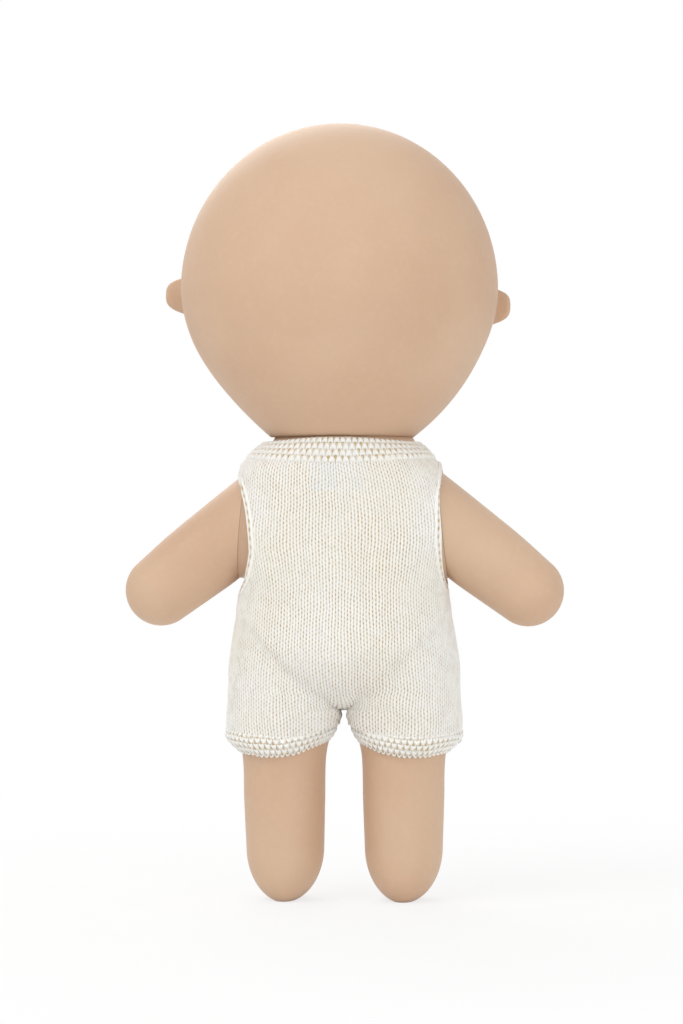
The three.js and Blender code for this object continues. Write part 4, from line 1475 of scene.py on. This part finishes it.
def label_object():
    """The bare label, a tape folded double and sewn in under the neck band."""
    foot, top = BAND_FOOT - 12.2, BAND_FOOT - 1.2
    half_width, fold, gap, off_skin = 10.5, 0.5, 0.8, 0.12
    turn = np.linspace(math.pi, 0, 9)
    down = np.linspace(top, foot + fold, 12)[:-1]
    height = np.concatenate([down, foot + fold - fold * np.sin(turn), down[::-1]])
    layer = np.concatenate([np.ones(len(down)), 0.5 - 0.5 * np.cos(turn), np.zeros(len(down))])
    x = np.linspace(-half_width, half_width, 43)[:, None]
    body_width, body_depth, back, power = torso_at(height - HIP[2])
    y = back + body_depth * (1 - np.abs(x / body_width) ** power) ** (1 / power)
    y = y + off_skin + gap * layer + 0.05 * np.sin(x * 0.9) * layer
    points = np.stack(np.broadcast_arrays(x, y, height), -1)
    faces = grid_faces(*points.shape[:2], closed=True)
    label = make_object("romper_label_tape", points.reshape(-1, 3), faces)
    edit_mesh(label, close_ends)
    return label


# Stage

def area_lamp(name, place, aim, width, power, tint):
    """A round soft lamp that shines from a place to the one it aims at."""
    lamp = bpy.data.lights.new(name, "AREA")
    lamp.shape = "DISK"
    lamp.size = width
    lamp.energy = power
    lamp.color = tint
    holder = bpy.data.objects.new(name, lamp)
    bpy.context.scene.collection.objects.link(holder)
    holder.location = place
    holder.rotation_euler = (Vector(aim) - Vector(place)).to_track_quat("-Z", "Y").to_euler()


def seen_rays(nodes, links):
    """A socket that is 1 for what the camera sees, straight or in a shiny or clear surface."""
    rays = nodes.new("ShaderNodeLightPath").outputs
    seen = rays["Is Camera Ray"]
    for kind in ("Is Glossy Ray", "Is Transmission Ray"):
        either = nodes.new("ShaderNodeMath")
        either.operation = "MAXIMUM"
        links.new(seen, either.inputs[0])
        links.new(rays[kind], either.inputs[1])
        seen = either.outputs[0]
    return seen


def studio_world(world, glow):
    """Even light of this strength from all round, which the camera sees as plain white."""
    world.use_nodes = True
    nodes, links = world.node_tree.nodes, world.node_tree.links
    nodes.clear()
    blend, output = nodes.new("ShaderNodeMixShader"), nodes.new("ShaderNodeOutputWorld")
    links.new(seen_rays(nodes, links), blend.inputs[0])
    for strength, socket in ((glow, blend.inputs[1]), (1, blend.inputs[2])):
        light = nodes.new("ShaderNodeBackground")
        light.inputs["Color"].default_value = (*WHITE, 1)
        light.inputs["Strength"].default_value = strength
        links.new(light.outputs[0], socket)
    links.new(blend.outputs[0], output.inputs["Surface"])


def floor_material():
    """Pale floor that turns to plain white away from the doll and keeps its shadow."""
    make = Shading("studio_floor")
    seen = seen_rays(make.nodes, make.links)
    x, y, _ = make.parts(make.places())
    away = make.math("SQRT", make.math("ADD", make.math("MULTIPLY", x, x), make.math("MULTIPLY", y, y)))
    plain = make.math("MULTIPLY", make.ramp(away, 0.08, 0.5, 0.74, 1.0), seen)
    white = make.add("ShaderNodeEmission")
    white.inputs["Color"].default_value = (*WHITE, 1)
    white.inputs["Strength"].default_value = 1
    blend = make.add("ShaderNodeMixShader")
    make.put(plain, blend.inputs[0])
    make.links.new(make.shader.outputs[0], blend.inputs[1])
    make.links.new(white.outputs[0], blend.inputs[2])
    make.links.new(blend.outputs[0], make.nodes["Material Output"].inputs["Surface"])
    grain = make.ramp(make.noise(make.places(), 30), 0.3, 0.7)
    make.shader.inputs["Roughness"].default_value = 0.9
    make.put(make.mix(grain, *FLOOR), make.shader.inputs["Base Color"])
    return make.material


class DOLL_OT_stage(Operator):
    """Build the pale floor, the soft lamps and the camera behind the doll"""
    bl_idname = "doll.stage"
    bl_label = "Stage"
    bl_options = {"REGISTER", "UNDO"}

    def execute(self, context):
        scene = context.scene
        settings = scene.doll_stage
        sides = 96
        turns = np.linspace(0, 2 * math.pi, sides, endpoint=False)
        rings = np.array([0.001, 0.1, 0.3, 0.8, 2, 5]) / MM
        x, y = rings[:, None] * np.cos(turns), rings[:, None] * np.sin(turns)
        points = np.stack([x, y, np.zeros_like(x)], -1)
        floor = make_object("studio_floor", points.reshape(-1, 3), grid_faces(len(rings), sides, closed=True))
        edit_mesh(floor, lambda bm: bmesh.ops.recalc_face_normals(bm, faces=bm.faces))
        floor.location.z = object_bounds()[0][2]
        cover(floor, floor_material())
        floor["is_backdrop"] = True

        scene.world = scene.world or bpy.data.worlds.new("studio")
        studio_world(scene.world, settings.glow)
        area_lamp("key_lamp", (0.65, 0.75, 1.15), (0, 0, 0.17), 0.9, settings.key, (1, 0.985, 0.96))
        area_lamp("fill_lamp", (-0.6, 1.0, 0.18), (0, 0, 0.2), 0.7, settings.fill, (0.97, 0.985, 1))
        area_lamp("front_lamp", (0.3, -1.0, 0.9), (0, 0, 0.17), 0.9, settings.key * 0.8, WHITE)

        middle = Vector((settings.aim, 0, settings.height))
        camera = bpy.data.cameras.new("camera")
        film_height = 36
        camera.sensor_fit = "VERTICAL"
        camera.sensor_height = film_height
        camera.lens = film_height * settings.distance / settings.frame_height
        camera.clip_start, camera.clip_end = 0.05, 20
        holder = bpy.data.objects.new("camera", camera)
        scene.collection.objects.link(holder)
        toward = Vector((-math.sin(settings.turn), math.cos(settings.turn), 0))
        holder.location = middle + settings.distance * toward
        holder.rotation_euler = (middle - holder.location).to_track_quat("-Z", "Y").to_euler()
        scene.camera = holder
        scene.view_settings.view_transform = "Standard"
        return {"FINISHED"}


# Add-on

SETTINGS = {"doll_skin": SkinSettings, "doll_head": HeadSettings, "doll_knit": KnitSettings,
            "doll_stage": StageSettings}
STEPS = [DOLL_OT_head, DOLL_OT_torso, DOLL_OT_limbs, DOLL_OT_romper, DOLL_OT_edgings, DOLL_OT_stage]


class DOLL_PT_workshop(Panel):
    """Every piece of the doll, in the order it is built"""
    bl_idname = "DOLL_PT_workshop"
    bl_label = "Knitted Romper Doll"
    bl_space_type = "VIEW_3D"
    bl_region_type = "UI"
    bl_category = "Doll"

    def draw(self, context):
        layout = self.layout
        for step in STEPS:
            layout.operator(step.bl_idname)
        for key, group in SETTINGS.items():
            box = layout.box()
            box.label(text=group.__doc__)
            for name in group.__annotations__:
                box.prop(getattr(context.scene, key), name)


def register():
    for group in (*SETTINGS.values(), *STEPS, DOLL_PT_workshop):
        bpy.utils.register_class(group)
    for key, group in SETTINGS.items():
        setattr(bpy.types.Scene, key, PointerProperty(type=group))


def unregister():
    for key in SETTINGS:
        delattr(bpy.types.Scene, key)
    for group in reversed((*SETTINGS.values(), *STEPS, DOLL_PT_workshop)):
        bpy.utils.unregister_class(group)


def main():
    register()
    for step in STEPS:
        category, name = step.bl_idname.split(".")
        getattr(getattr(bpy.ops, category), name)()


if __name__ == "__main__":
    main()
